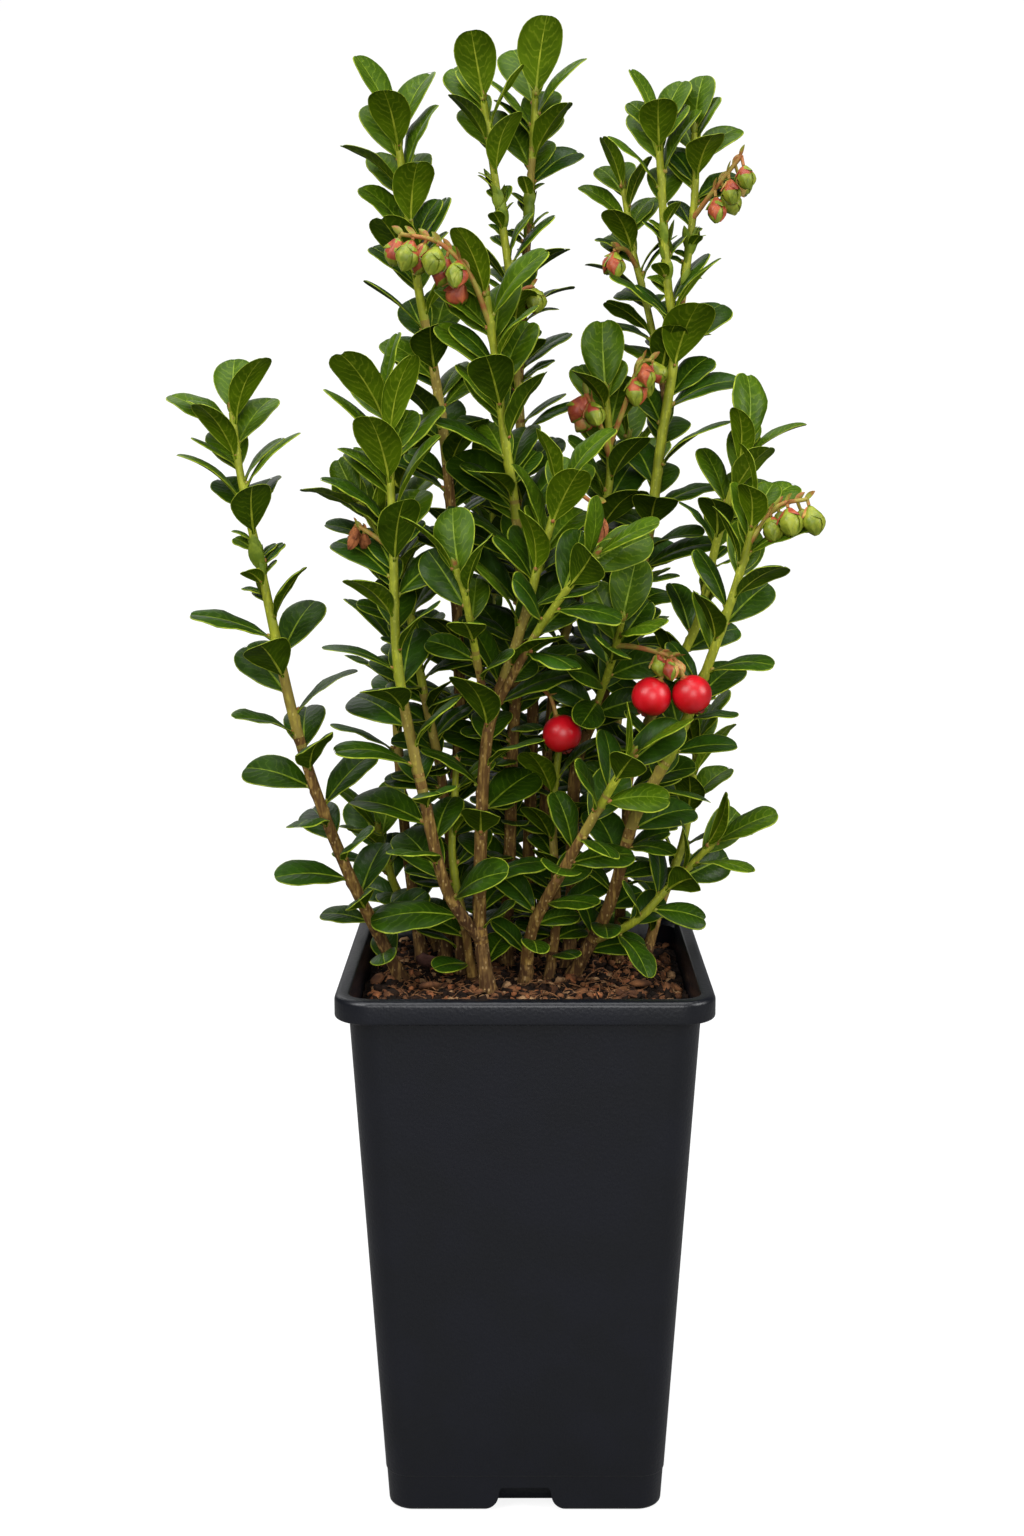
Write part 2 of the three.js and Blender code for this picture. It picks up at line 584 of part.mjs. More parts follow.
// A twig with its own middle line and taper, on which leaves are set
class Twig {
  constructor(owner, plan, root) {
    this.owner = owner;
    this.plan = plan;
    this.way = new Way([...root, ...plan.way.map(vector)]);
    this.radiusAt = (distance) => mix(plan.radius[0], plan.radius[1], distance / this.way.length);
  }

  // Round beads that stand for the twig where leaves must keep clear of it
  beads() {
    const count = Math.ceil(this.way.length / BEAD_SPACING);
    return Array.from({ length: count + 1 }, (_, i) => {
      const distance = (this.way.length * i) / count;
      return { owner: this.owner, at: this.way.at(distance), radius: this.radiusAt(distance) + TWIG_GAP };
    });
  }

  leafLength(share, height) {
    const [low, middle, top] = this.plan.leaf;
    const plain = share < 0.5 ? mix(low, middle, share * 2) : mix(middle, top, share * 2 - 1);
    return Math.abs(height - (this.plan.waist ?? 0)) < WAIST_REACH ? plain * WAIST_SIZE : plain;
  }

  // The leaf of a number, moved on by an attempt where its first place is taken
  leaf(number, seed, from, attempt) {
    const next = seeded(seed + number * LEAF_SEED);
    const swing = () => next() * 2 - 1;
    const share = 1 - (1 - (number + FIRST_LEAF) / this.plan.leaves) ** TIP_CROWDING;
    const distance = mix(from, this.way.length, share);
    const side = attempt % 2 === 0 ? 1 : -1;
    const turn = this.plan.turn + (number + 1 - this.plan.leaves) * GOLDEN_TURN + swing() * TURN_JITTER
      + side * Math.ceil(attempt / 2) * TRY_TURN;
    const [low, top] = this.plan.pitch ?? [LOW_PITCH, TOP_PITCH];
    const upright = number + 1 === this.plan.leaves ? TIP_UPRIGHT : 1;
    const pitch = (mix(low, top, share ** PITCH_FALL) + swing() * PITCH_JITTER) * upright;
    const roll = swing() * ROLL_JITTER;
    const root = this.way.at(distance);
    const size = (1 + swing() * SIZE_JITTER) * (1 - attempt * TRY_SHRINK);
    const droop = mix(LOW_DROOP, TOP_DROOP, share) * (1 + swing() * DROOP_JITTER);
    return new Leaf(this.owner, root, this.way.direction(distance),
      radians(turn), radians(pitch), radians(roll), this.leafLength(share, root.z) * size, droop);
  }
}

// A stalk that bears flower buds towards its end, nodding, and berries on stalks of their own
class Truss {
  constructor(owner, plan, root) {
    this.owner = owner;
    this.plan = plan;
    this.way = new Way([root, ...plan.way.map(vector)]);
  }

  buds() {
    const count = this.plan.buds ?? 0;
    return Array.from({ length: count }, (_, i) => {
      const distance = this.way.length * mix(BUD_RUN, 1, (i + 1) / count);
      const direction = this.way.direction(distance);
      const [first, second] = crossAxes(direction);
      const turn = radians(i * GOLDEN_TURN);
      const axis = direction.clone()
        .addScaledVector(first, Math.cos(turn) * BUD_SPREAD)
        .addScaledVector(second, Math.sin(turn) * BUD_SPREAD)
        .addScaledVector(UP, -BUD_NOD)
        .normalize();
      const length = this.plan.size;
      const at = this.way.at(distance).addScaledVector(axis, length * (0.5 - BUD_SINK / 2));
      return { at, axis, length };
    });
  }

  berries() {
    return (this.plan.berries ?? []).map(vector);
  }

  beads() {
    const count = Math.ceil(this.way.length / BEAD_SPACING);
    const stalk = Array.from({ length: count }, (_, i) => ({
      at: this.way.at((this.way.length * (i + 1)) / count), radius: BERRY_STALK + TWIG_GAP }));
    const buds = this.buds().map((bud) => ({ at: bud.at, radius: bud.length / 2 + CLEARANCE }));
    const berries = this.berries().map((at) => ({ at, radius: BERRY_RADIUS + TWIG_GAP }));
    return [...stalk, ...buds, ...berries].map((bead) => ({ ...bead, owner: this.owner, fruit: true }));
  }

  solids() {
    const end = this.way.at(this.way.length);
    const stalk = solid(loft(stemRings(this.way, 0, this.way.length, STALK_SIDES, () => BERRY_STALK)));
    const buds = this.buds().map((bud) => {
      const width = (bud.length * BUD_WIDTH_SHARE) / 2;
      const turn = new THREE.Quaternion().setFromUnitVectors(UP, bud.axis);
      const shape = new THREE.OctahedronGeometry(1, 0).scale(width, width, bud.length / 2);
      return solid(shape.applyQuaternion(turn).translate(...bud.at.toArray()));
    });
    const berries = this.berries().flatMap((at) => {
      const hang = new Way([end.clone(), at.clone()]);
      return [
        solid(loft(stemRings(hang, 0, hang.length, STALK_SIDES, () => BERRY_STALK))),
        solid(new THREE.IcosahedronGeometry(BERRY_RADIUS, 1).translate(...at.toArray())),
      ];
    });
    return [stalk, ...buds, ...berries];
  }
}

// True if a leaf's blade stays out of the pot's rim and the potting mix
function clearsPot(leaf) {
  return leaf.probes.every((probe) => {
    const reach = Math.max(Math.abs(probe.x), Math.abs(probe.y));
    if (reach > RIM_WIDTH / 2 + POT_GAP) return true;
    const floor = reach > RIM_WIDTH / 2 - LIP_WIDTH - POT_GAP ? POT_HEIGHT : SOIL_TOP;
    return probe.z > floor + POT_GAP;
  });
}

function clearsBeads(leaf, beads) {
  const close = beads.filter((bead) => bead.at.distanceTo(leaf.middle) < leaf.length + bead.radius);
  return close.every((bead) => leaf.probes.every((probe) => probe.distanceTo(bead.at) > bead.radius));
}

// Everything that grows from the potting mix
class Planting {
  constructor(shoots) {
    this.twigs = [];
    this.trusses = [];
    for (const shoot of shoots) {
      const carrier = this.twigs.find(([main]) => main.owner === shoot.carrier)?.[0];
      const main = new Twig(shoot.name, shoot, carrier ? [carrier.way.atHeight(shoot.height)] : []);
      const forks = (shoot.forks ?? []).map(
        (plan) => new Twig(shoot.name, plan, [main.way.atHeight(plan.height)]));
      const twigs = [main, ...forks];
      this.twigs.push(twigs);
      this.trusses.push((shoot.trusses ?? []).map(
        (plan) => new Truss(shoot.name, plan, twigs[plan.twig].way.atHeight(plan.height))));
    }
    this.beads = [...this.twigs, ...this.trusses].flat().flatMap((piece) => piece.beads());
    this.leaves = [];
    this.twigs.forEach((twigs, shoot) => twigs.forEach((twig, number) => {
      const bare = number > 0 ? FORK_BARE : (twig.plan.foot ?? SIDE_BARE);
      this.growLeaves(twig, (shoot + 1) * SHOOT_SEED + number * TWIG_SEED, bare + CLEARANCE);
    }));
  }

  // Sets a twig's leaves from the tip down, and leaves out any that finds no room
  growLeaves(twig, seed, from) {
    const others = this.beads.filter((bead) => bead.owner !== twig.owner || bead.fruit);
    for (let number = twig.plan.leaves - 1; number >= 0; number -= 1) {
      for (let attempt = 0; attempt < TRIES; attempt += 1) {
        const leaf = twig.leaf(number, seed, from, attempt);
        const free = clearsPot(leaf) && clearsBeads(leaf, others);
        if (free && !this.leaves.some((grown) => leaf.meets(grown))) {
          this.leaves.push(leaf);
          break;
        }
      }
    }
  }

  // The woody foot of a stem, cut level where it meets the potting mix and flared there
  woodyStem(main, grow) {
    const flared = (distance) => 1 + FLARE * Math.exp(-distance / FLARE_LENGTH);
    const radiusAt = (distance) => main.radiusAt(distance) * flared(distance) + grow;
    const rings = stemRings(main.way, FLARE_LENGTH / 2, main.plan.foot, STEM_SIDES, radiusAt);
    const [foot] = stemRings(main.way, 0, FLARE_LENGTH, STEM_SIDES, radiusAt);
    return solid(loft([levelRing(foot, main.way.direction(0), SOIL_TOP + CLEARANCE), ...rings]));
  }

  // A leafy shoot: its stem from the woody foot up, its forks, leaves, buds and berries
  leafyShoot(twigs, trusses) {
    const [main, ...forks] = twigs;
    const from = main.plan.foot ? main.plan.foot + CLEARANCE : 0;
    const parts = [
      stemRings(main.way, from, main.way.length, TWIG_SIDES, main.radiusAt),
      ...forks.map((fork) => stemRings(fork.way, 0, fork.way.length, TWIG_SIDES, fork.radiusAt)),
    ].map((rings) => solid(loft(rings)));
    const leaves = this.leaves.filter((leaf) => leaf.owner === main.owner);
    const shoot = joined([
      ...parts,
      ...leaves.map((leaf) => solid(leaf.geometry())),
      ...trusses.flatMap((truss) => truss.solids()),
    ]);
    if (main.plan.foot) return shoot;
    const carrier = this.twigs.find(([other]) => other.owner === main.plan.carrier)[0];
    return shoot.subtract(this.woodyStem(carrier, SEAT_GROWTH));
  }
}

const group = new THREE.Group();

function place(name, shape, material) {
  const mesh = new THREE.Mesh(geometryOf(shape), material);
  mesh.name = name;
  group.add(mesh);
}

place("pot", makePot(), MATERIALS.plastic);
place("potting_mix", makePottingMix(), MATERIALS.mix);
const planting = new Planting(SHOOTS);
planting.twigs.forEach((twigs, number) => {
  const [main] = twigs;
  if (main.plan.foot) place(`${main.owner}_stem`, planting.woodyStem(main, 0), MATERIALS.bark);
  place(`${main.owner}_shoot`, planting.leafyShoot(twigs, planting.trusses[number]), MATERIALS.leaf);
});

export default group;
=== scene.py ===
"""The look of a lingonberry shrub in a deep square nursery pot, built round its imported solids.

The solids give every stem, shoot and the pot in one frame. Here each leafy shoot is grown again by
the rule that its solid follows, with fine leaves, bark, buds and berries in the same places. Plans
and measures are in millimetres, and meshes are made in metres.
"""
from __future__ import annotations

import logging
import math
from dataclasses import dataclass, field
from enum import Enum
from typing import Callable, Sequence

import bmesh
import bpy
import numpy as np
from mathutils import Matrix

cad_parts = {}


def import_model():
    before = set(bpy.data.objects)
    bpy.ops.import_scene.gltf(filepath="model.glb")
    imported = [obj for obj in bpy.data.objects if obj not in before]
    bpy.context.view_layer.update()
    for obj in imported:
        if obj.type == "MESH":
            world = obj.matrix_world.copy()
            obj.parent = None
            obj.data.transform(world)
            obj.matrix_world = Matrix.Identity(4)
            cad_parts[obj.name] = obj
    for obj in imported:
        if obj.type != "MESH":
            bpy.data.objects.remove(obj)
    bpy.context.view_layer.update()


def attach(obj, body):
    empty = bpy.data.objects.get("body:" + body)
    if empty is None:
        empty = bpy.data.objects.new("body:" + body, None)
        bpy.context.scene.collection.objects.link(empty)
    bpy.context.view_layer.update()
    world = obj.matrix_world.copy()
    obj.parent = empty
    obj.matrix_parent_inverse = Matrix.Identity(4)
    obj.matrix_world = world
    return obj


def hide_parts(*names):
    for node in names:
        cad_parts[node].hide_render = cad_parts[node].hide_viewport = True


LOG = logging.getLogger("lingonberry")
MM = 0.001
BODY = "root"

Vec = np.ndarray
Point = tuple[float, float, float]
Points = tuple[Point, ...]
Span = tuple[float, float]
Colour = tuple[float, float, float]
Socket = bpy.types.NodeSocket
Material = bpy.types.Material

# The pot
POT_HEIGHT = 133.0
RIM_WIDTH = 90.0
RIM_CORNER = 9.0
LIP_WIDTH = 3.6
SKIRT_HEIGHT = 5.6
BODY_TOP_WIDTH = 83.6
BODY_CORNER = 8.0
FOOT_WIDTH = 68.0
FOOT_CORNER = 6.0
WALL = 1.2
FLOOR = 1.6
NOTCH_HEIGHT = 6.3
SOIL_TOP = 127.0
CLEARANCE = 0.3
CORNER_STEPS = 12

# The rule that sets leaves round a twig
WAY_STEP = 11.0
FLARE = 0.45
FLARE_LENGTH = 4.0
BERRY_STALK = 0.6
BERRY_RADIUS = 4.7
BUD_NOD = 0.75
BUD_SPREAD = 0.55
BUD_RUN = 0.55
BUD_SINK = 0.32
GOLDEN_TURN = 137.5
TURN_JITTER = 12.0
LOW_PITCH = 50.0
TOP_PITCH = 24.0
PITCH_FALL = 1.4
PITCH_JITTER = 9.0
TIP_UPRIGHT = 0.45
ROLL_JITTER = 15.0
FRONT_ROLL = 20.0
SIZE_JITTER = 0.1
LEAF_WIDTH_SHARE = 0.58
PETIOLE_SHARE = 0.1
BLADE_RISE = 0.8
BLADE_FALL = 0.42
BLADE_MIDDLE = 0.55
LOW_DROOP = 0.26
TOP_DROOP = 0.15
DROOP_JITTER = 0.3
WAIST_SIZE = 0.42
WAIST_REACH = 9.0
TIP_CROWDING = 1.25
FIRST_LEAF = 0.6
SIDE_BARE = 5.0
FORK_BARE = 5.0
BLADE_GAP = 1.2
OWN_BLADE_GAP = 0.5
OUTLINE_GAP = 0.7
OUTLINE_END = 0.97
TWIG_GAP = 0.9
POT_GAP = 0.8
BEAD_SPACING = 2.0
TRIES = 7
TRY_TURN = 21.0
TRY_SHRINK = 0.04
PROBES_ALONG = (0.18, 0.3, 0.42, 0.54, 0.66, 0.78, 0.89, 0.98)
PROBES_ACROSS = (-1.0, -0.5, 0.0, 0.5, 1.0)
SHOOT_SEED = 1009
TWIG_SEED = 131
LEAF_SEED = 97
PIECE_SEED = 500
PIECE_SEED_STEP = 37
PEAK_SHARE = BLADE_RISE / (BLADE_RISE + BLADE_FALL)
FULLEST = PEAK_SHARE**BLADE_RISE * (1 - PEAK_SHARE) ** BLADE_FALL

# The leaves that only the fine plant has: low ones on bare stems, small ones on upper twigs
LONG_FOOT = 32.0
LONG_FOOT_RISE = 45.0
LONG_FOOT_STEP = 3.2
SHORT_FOOT_STEP = 4.5
LOWEST_LEAF = 4.0
LOW_LEAF_SIZE = 0.85
TIP_LEAF_SIZE = 0.8
FINE_LEAF_GAP = 0.4
TIP_LEAF_HEIGHT = 222.0
TIP_LEAF_FORWARD = 0.12
TIP_LEAF_SEED = 7919
TIP_LEAF_SHIFT = 3

UP = np.array((0.0, 0.0, 1.0))
FULL_TURN = 2 * math.pi
QUARTER_TURN = math.pi / 2


@dataclass(frozen=True)
class TrussPlan:
    """A stalk that leaves a twig at a height and bears buds and berries."""

    height: float
    way: Points
    twig: int = 0
    buds: int = 0
    size: float = 0.0
    berries: Points = ()
    dry: bool = False


@dataclass(frozen=True)
class TwigPlan:
    """A twig's middle line, its radius from root to tip, and how its leaves are set.

    leaf is the leaf's length low, midway and at the tip. turn is the tip leaf's direction seen from
    above, in degrees. A fork or side shoot leaves its carrier at height, and waist is the height
    where a year's growth began with tiny leaves.
    """

    way: Points
    radius: Span
    leaf: tuple[float, float, float]
    leaves: int
    turn: float
    height: float = 0.0
    waist: float = 0.0
    pitch: Span = (LOW_PITCH, TOP_PITCH)


@dataclass(frozen=True)
class ShootPlan:
    """A shoot: its main twig, the length of its bare woody foot, its forks and its trusses.

    green_from is how far along its length a twig's bark turns green.
    """

    name: str
    main: TwigPlan
    foot: float = 0.0
    green_from: float = 0.6
    carrier: str = ""
    forks: tuple[TwigPlan, ...] = ()
    trusses: tuple[TrussPlan, ...] = ()


SHOOTS: tuple[ShootPlan, ...] = (
    ShootPlan(
        name="front", green_from=0.78, foot=24,
        main=TwigPlan(way=((-9, -15, 127.3), (-11, -15, 143), (-11, -15, 158), (-10, -15, 182),
            (-8, -15, 196), (-1, -17, 217), (4, -18, 235), (9, -18, 251)), radius=(2.1, 0.8),
            leaf=(17, 20, 18), leaves=22, turn=3),
        forks=(
            TwigPlan(way=((3, -22, 217), (12, -26, 230), (16, -28, 235)), radius=(1.3, 0.7),
                leaf=(13, 17, 18), leaves=11, turn=315, height=197),
            TwigPlan(way=((-12, -23, 214), (-14, -27, 226), (-16, -28, 232)), radius=(1.2, 0.7),
                leaf=(13, 16, 17), leaves=9, turn=225, height=193),
        ),
        trusses=(
            TrussPlan(height=244, way=((12, -19, 249), (16, -20, 247)), buds=1, size=8, dry=True),
        ),
    ),
    ShootPlan(
        name="front_left", green_from=0.5, carrier="front",
        main=TwigPlan(way=((-19, -19, 154), (-24, -21, 176), (-30, -22, 208), (-31, -21, 238),
            (-32, -18, 260), (-33, -17, 269)), radius=(1.8, 0.75), leaf=(19, 19, 20), leaves=31, turn=0,
            height=140),
        trusses=(
            TrussPlan(height=236, way=((-35, -20, 239), (-40, -18, 242)), buds=3, size=4.5, dry=True),
        ),
    ),
    ShootPlan(
        name="far_left", green_from=0.62, foot=22,
        main=TwigPlan(way=((-31, -4, 127.3), (-44, -12, 158), (-54, -18, 190), (-62, -20, 230),
            (-67, -17, 253), (-69, -15, 268)), radius=(1.9, 0.75), leaf=(17, 19, 18), leaves=30, turn=90,
            waist=229, pitch=(50, 34)),
    ),
    ShootPlan(
        name="centre", green_from=0.8, foot=17,
        main=TwigPlan(way=((0, -7, 127.3), (2, -12, 143), (11, -19, 162), (21, -25, 181), (25, -27, 188)),
            radius=(1.9, 0.8), leaf=(16, 16, 17), leaves=15, turn=315),
    ),
    ShootPlan(
        name="right", green_from=0.5, foot=30,
        main=TwigPlan(way=((12, 0, 127.3), (21, -6, 147), (27, -10, 170), (37, -14, 190), (46.5, -17, 216),
            (52.5, -18, 236), (54.5, -18, 245)), radius=(2, 0.8), leaf=(17, 17, 16), leaves=25, turn=180),
        trusses=(
            TrussPlan(height=237, way=((59, -20, 246), (66, -22, 248)), buds=5, size=6),
        ),
    ),
    ShootPlan(
        name="low_right", green_from=0.3, carrier="right",
        main=TwigPlan(way=((27, -9, 143.5), (36, -10, 153), (46, -12, 164)), radius=(1.3, 0.7),
            leaf=(14, 15, 17), leaves=12, turn=0, height=137),
    ),
    ShootPlan(
        name="right_tall", green_from=0.54, foot=68,
        main=TwigPlan(way=((11, 6, 127.3), (12, 8, 145), (13, 11, 179), (20, 12, 198), (30, 12, 233),
            (34, 11, 262), (37, 10, 285), (35, 9, 299), (33, 8, 324), (32, 7, 336)), radius=(2.1, 0.8),
            leaf=(19, 20, 17), leaves=32, turn=180, waist=304),
        forks=(
            TwigPlan(way=((40, 11, 306), (41.5, 10, 323), (41, 9, 335)), radius=(1.2, 0.75),
                leaf=(10, 15, 18), leaves=14, turn=90, height=284, waist=303),
            TwigPlan(way=((31, 17, 292), (27, 19, 308), (24.5, 19, 323)), radius=(1.1, 0.7),
                leaf=(18, 15, 14), leaves=14, turn=225, height=270),
        ),
        trusses=(
            TrussPlan(height=315, way=((47, 5, 323), (52, 4, 329)), twig=1, buds=5, size=6),
            TrussPlan(height=304, way=((25, 15, 308), (22, 12, 308)), twig=2, buds=2, size=5.5),
        ),
    ),
    ShootPlan(
        name="mid_left", green_from=0.7, foot=34,
        main=TwigPlan(way=((-5, 12, 127.3), (-4, 10, 155), (-3, 5, 187), (-1, 0, 218), (-2, -4, 242),
            (-5, -6, 263), (-7, -8, 280), (-9, -10, 295)), radius=(2, 0.8), leaf=(18, 21, 19), leaves=31,
            turn=270),
        trusses=(
            TrussPlan(height=288, way=((-13, -13, 300), (-20, -14, 307), (-29, -14, 309)), buds=7,
                size=6.5),
            TrussPlan(height=200, way=((2, -4, 203), (6, -9, 200)), berries=((9, -11, 191),)),
        ),
    ),
    ShootPlan(
        name="tall", green_from=0.8, foot=60,
        main=TwigPlan(way=((2, 22, 127.3), (1, 22, 155), (2, 20, 195), (0, 18, 232), (-1, 16, 262),
            (-2, 16, 277), (-4, 15, 303), (-8, 14, 329), (-10, 13, 343)), radius=(2, 0.75),
            leaf=(18, 17, 16), leaves=31, turn=270, waist=316),
        forks=(
            TwigPlan(way=((-0.5, 19, 296), (1, 20, 317), (2.5, 20, 345)), radius=(1.3, 0.75),
                leaf=(16, 16, 19), leaves=19, turn=270, height=272, waist=314),
        ),
        trusses=(
            TrussPlan(height=293, way=((-1, 13, 298), (2, 12, 299)), buds=1, size=5.5),
        ),
    ),
    ShootPlan(
        name="left_tall", green_from=0.78, foot=40,
        main=TwigPlan(way=((-21, 14, 127.3), (-19, 15, 154), (-17, 15, 186), (-17, 14, 212),
            (-19, 12, 250), (-22, 10, 276), (-26, 8, 298), (-29, 6, 321), (-31, 5, 336)), radius=(2, 0.8),
            leaf=(17, 19, 19), leaves=36, turn=180),
    ),
    ShootPlan(
        name="budded", green_from=0.7, foot=46,
        main=TwigPlan(way=((5, 15.5, 127.3), (4.5, 16.5, 154), (8, 15, 203), (20, 13, 245), (21, 12, 261),
            (20, 10, 273)), radius=(1.7, 0.8), leaf=(17, 18, 18), leaves=22, turn=90),
        trusses=(
            TrussPlan(height=260, way=((25, 9, 271), (28, 6, 280), (31, 5, 281)), buds=4, size=6),
            TrussPlan(height=257, way=((18, 8, 267), (15, 6, 273)), buds=3, size=6),
        ),
    ),
    ShootPlan(
        name="right_mid", green_from=0.55, foot=32,
        main=TwigPlan(way=((24, 15, 127.3), (26, 13, 162), (27, 10, 179), (35, 6, 200), (43, 4, 217),
            (47.5, 2, 238), (54, 0, 260)), radius=(1.7, 0.8), leaf=(17, 15, 17), leaves=25, turn=135,
            waist=224),
    ),
    ShootPlan(
        name="berried", carrier="right_tall",
        main=TwigPlan(way=((18, -3, 198), (21, -13, 209), (23, -19, 219)), radius=(1.2, 0.7),
            leaf=(14, 17, 18), leaves=14, turn=225, height=188),
        trusses=(
            TrussPlan(height=213, way=((27, -20, 213), (35, -22, 211)), buds=4, size=4.5,
                berries=((30, -22, 201.5), (39.6, -22, 202))),
        ),
    ),
    ShootPlan(
        name="left_behind", foot=38,
        main=TwigPlan(way=((-16, 3, 127.3), (-20, 1, 172), (-25, -2, 200), (-29, -4, 223), (-34, -6, 237),
            (-40, -8, 247)), radius=(1.6, 0.75), leaf=(16, 16, 16), leaves=19, turn=0),
    ),
    ShootPlan(
        name="back_left", foot=11,
        main=TwigPlan(way=((-23, 27, 127.3), (-27, 26, 135), (-33, 23, 143), (-36, 20, 152),
            (-38, 18, 161)), radius=(1.6, 0.75), leaf=(15, 17, 17), leaves=10, turn=180),
    ),
    ShootPlan(
        name="back_middle", foot=16,
        main=TwigPlan(way=((-6, 32, 127.3), (-7, 36, 165), (-9, 39, 210), (-8, 40, 246)), radius=(1.9,
            0.75), leaf=(17, 18, 19), leaves=22, turn=270),
    ),
    ShootPlan(
        name="back_right", foot=14,
        main=TwigPlan(way=((16, 30, 127.3), (22, 34, 165), (26, 36, 210), (27, 37, 262)), radius=(1.9,
            0.75), leaf=(17, 18, 19), leaves=23, turn=225),
    ),
    ShootPlan(
        name="back_far_left", foot=14,
        main=TwigPlan(way=((-27, 16, 127.3), (-32, 24, 165), (-34, 28, 205), (-33, 30, 252)), radius=(1.8,
            0.75), leaf=(17, 18, 18), leaves=22, turn=90),
    ),
    ShootPlan(
        name="back_low", foot=9,
        main=TwigPlan(way=((6, 37, 127.3), (7, 42, 140), (9, 48, 156), (10, 52, 176)), radius=(1.5, 0.7),
            leaf=(15, 17, 17), leaves=12, turn=90),
    ),
    ShootPlan(
        name="right_low", foot=12,
        main=TwigPlan(way=((31, 14, 127.3), (36, 18, 143), (42, 22, 160), (45, 24, 184)), radius=(1.6,
            0.7), leaf=(15, 17, 17), leaves=13, turn=0),
    ),
    ShootPlan(
        name="middle_low", foot=10,
        main=TwigPlan(way=((6, -3, 127.3), (8, -2, 145), (7, 2, 170), (10, 3, 196)), radius=(1.5, 0.7),
            leaf=(15, 16, 17), leaves=16, turn=135),
    ),
    ShootPlan(
        name="left_low", foot=9,
        main=TwigPlan(way=((-13, -6, 127.3), (-15, -8, 142), (-18, -8, 160), (-17, -6, 182)), radius=(1.4,
            0.7), leaf=(13, 14, 15), leaves=12, turn=225),
    ),
)


def seeded(seed: int) -> Callable[[], float]:
    """Makes a repeatable source of numbers.

    Args:
        seed: Where the source starts.

    Returns:
        A function that gives the next number from 0 to 1 at each call.
    """
    state = seed & 0xFFFFFFFF

    def step() -> float:
        """Returns the next number."""
        nonlocal state
        state = (state + 0x6D2B79F5) & 0xFFFFFFFF
        value = ((state ^ (state >> 15)) * (1 | state)) & 0xFFFFFFFF
        value = ((value + (((value ^ (value >> 7)) * (61 | value)) & 0xFFFFFFFF)) & 0xFFFFFFFF) ^ value
        return ((value ^ (value >> 14)) & 0xFFFFFFFF) / 4294967296

    return step


def mix(a: float, b: float, share: float) -> float:
    """Returns the number at a share of the way from a to b."""
    return a + (b - a) * share


def unit(v: Vec) -> Vec:
    """Returns a vector, or each row of a table of vectors, scaled to length one."""
    return v / np.linalg.norm(v, axis=-1, keepdims=True)


def cross_axes(direction: Vec) -> tuple[Vec, Vec]:
    """Returns two directions square to a stem's own: the first leans to +X, the second to +Y."""
    first = unit(np.array((1.0, 0.0, 0.0)) - direction * direction[..., :1])
    return first, np.cross(direction, first)


def outward(direction: Vec, turn: float) -> Vec:
    """Returns the direction square to a stem's own at a turn round it."""
    first, second = cross_axes(direction)
    return first * math.cos(turn) + second * math.sin(turn)


def blade_width(along: Vec) -> Vec:
    """Returns the share of a leaf's full half width at shares of the way from root to tip."""
    share = np.clip((along - PETIOLE_SHARE) / (1 - PETIOLE_SHARE), 0, 1)
    return share**BLADE_RISE * (1 - share) ** BLADE_FALL / FULLEST


PROBE_ALONG = np.array([a for a in PROBES_ALONG for _ in PROBES_ACROSS])
PROBE_ACROSS = np.array([c * float(blade_width(np.array(a))) for a in PROBES_ALONG for c in PROBES_ACROSS])


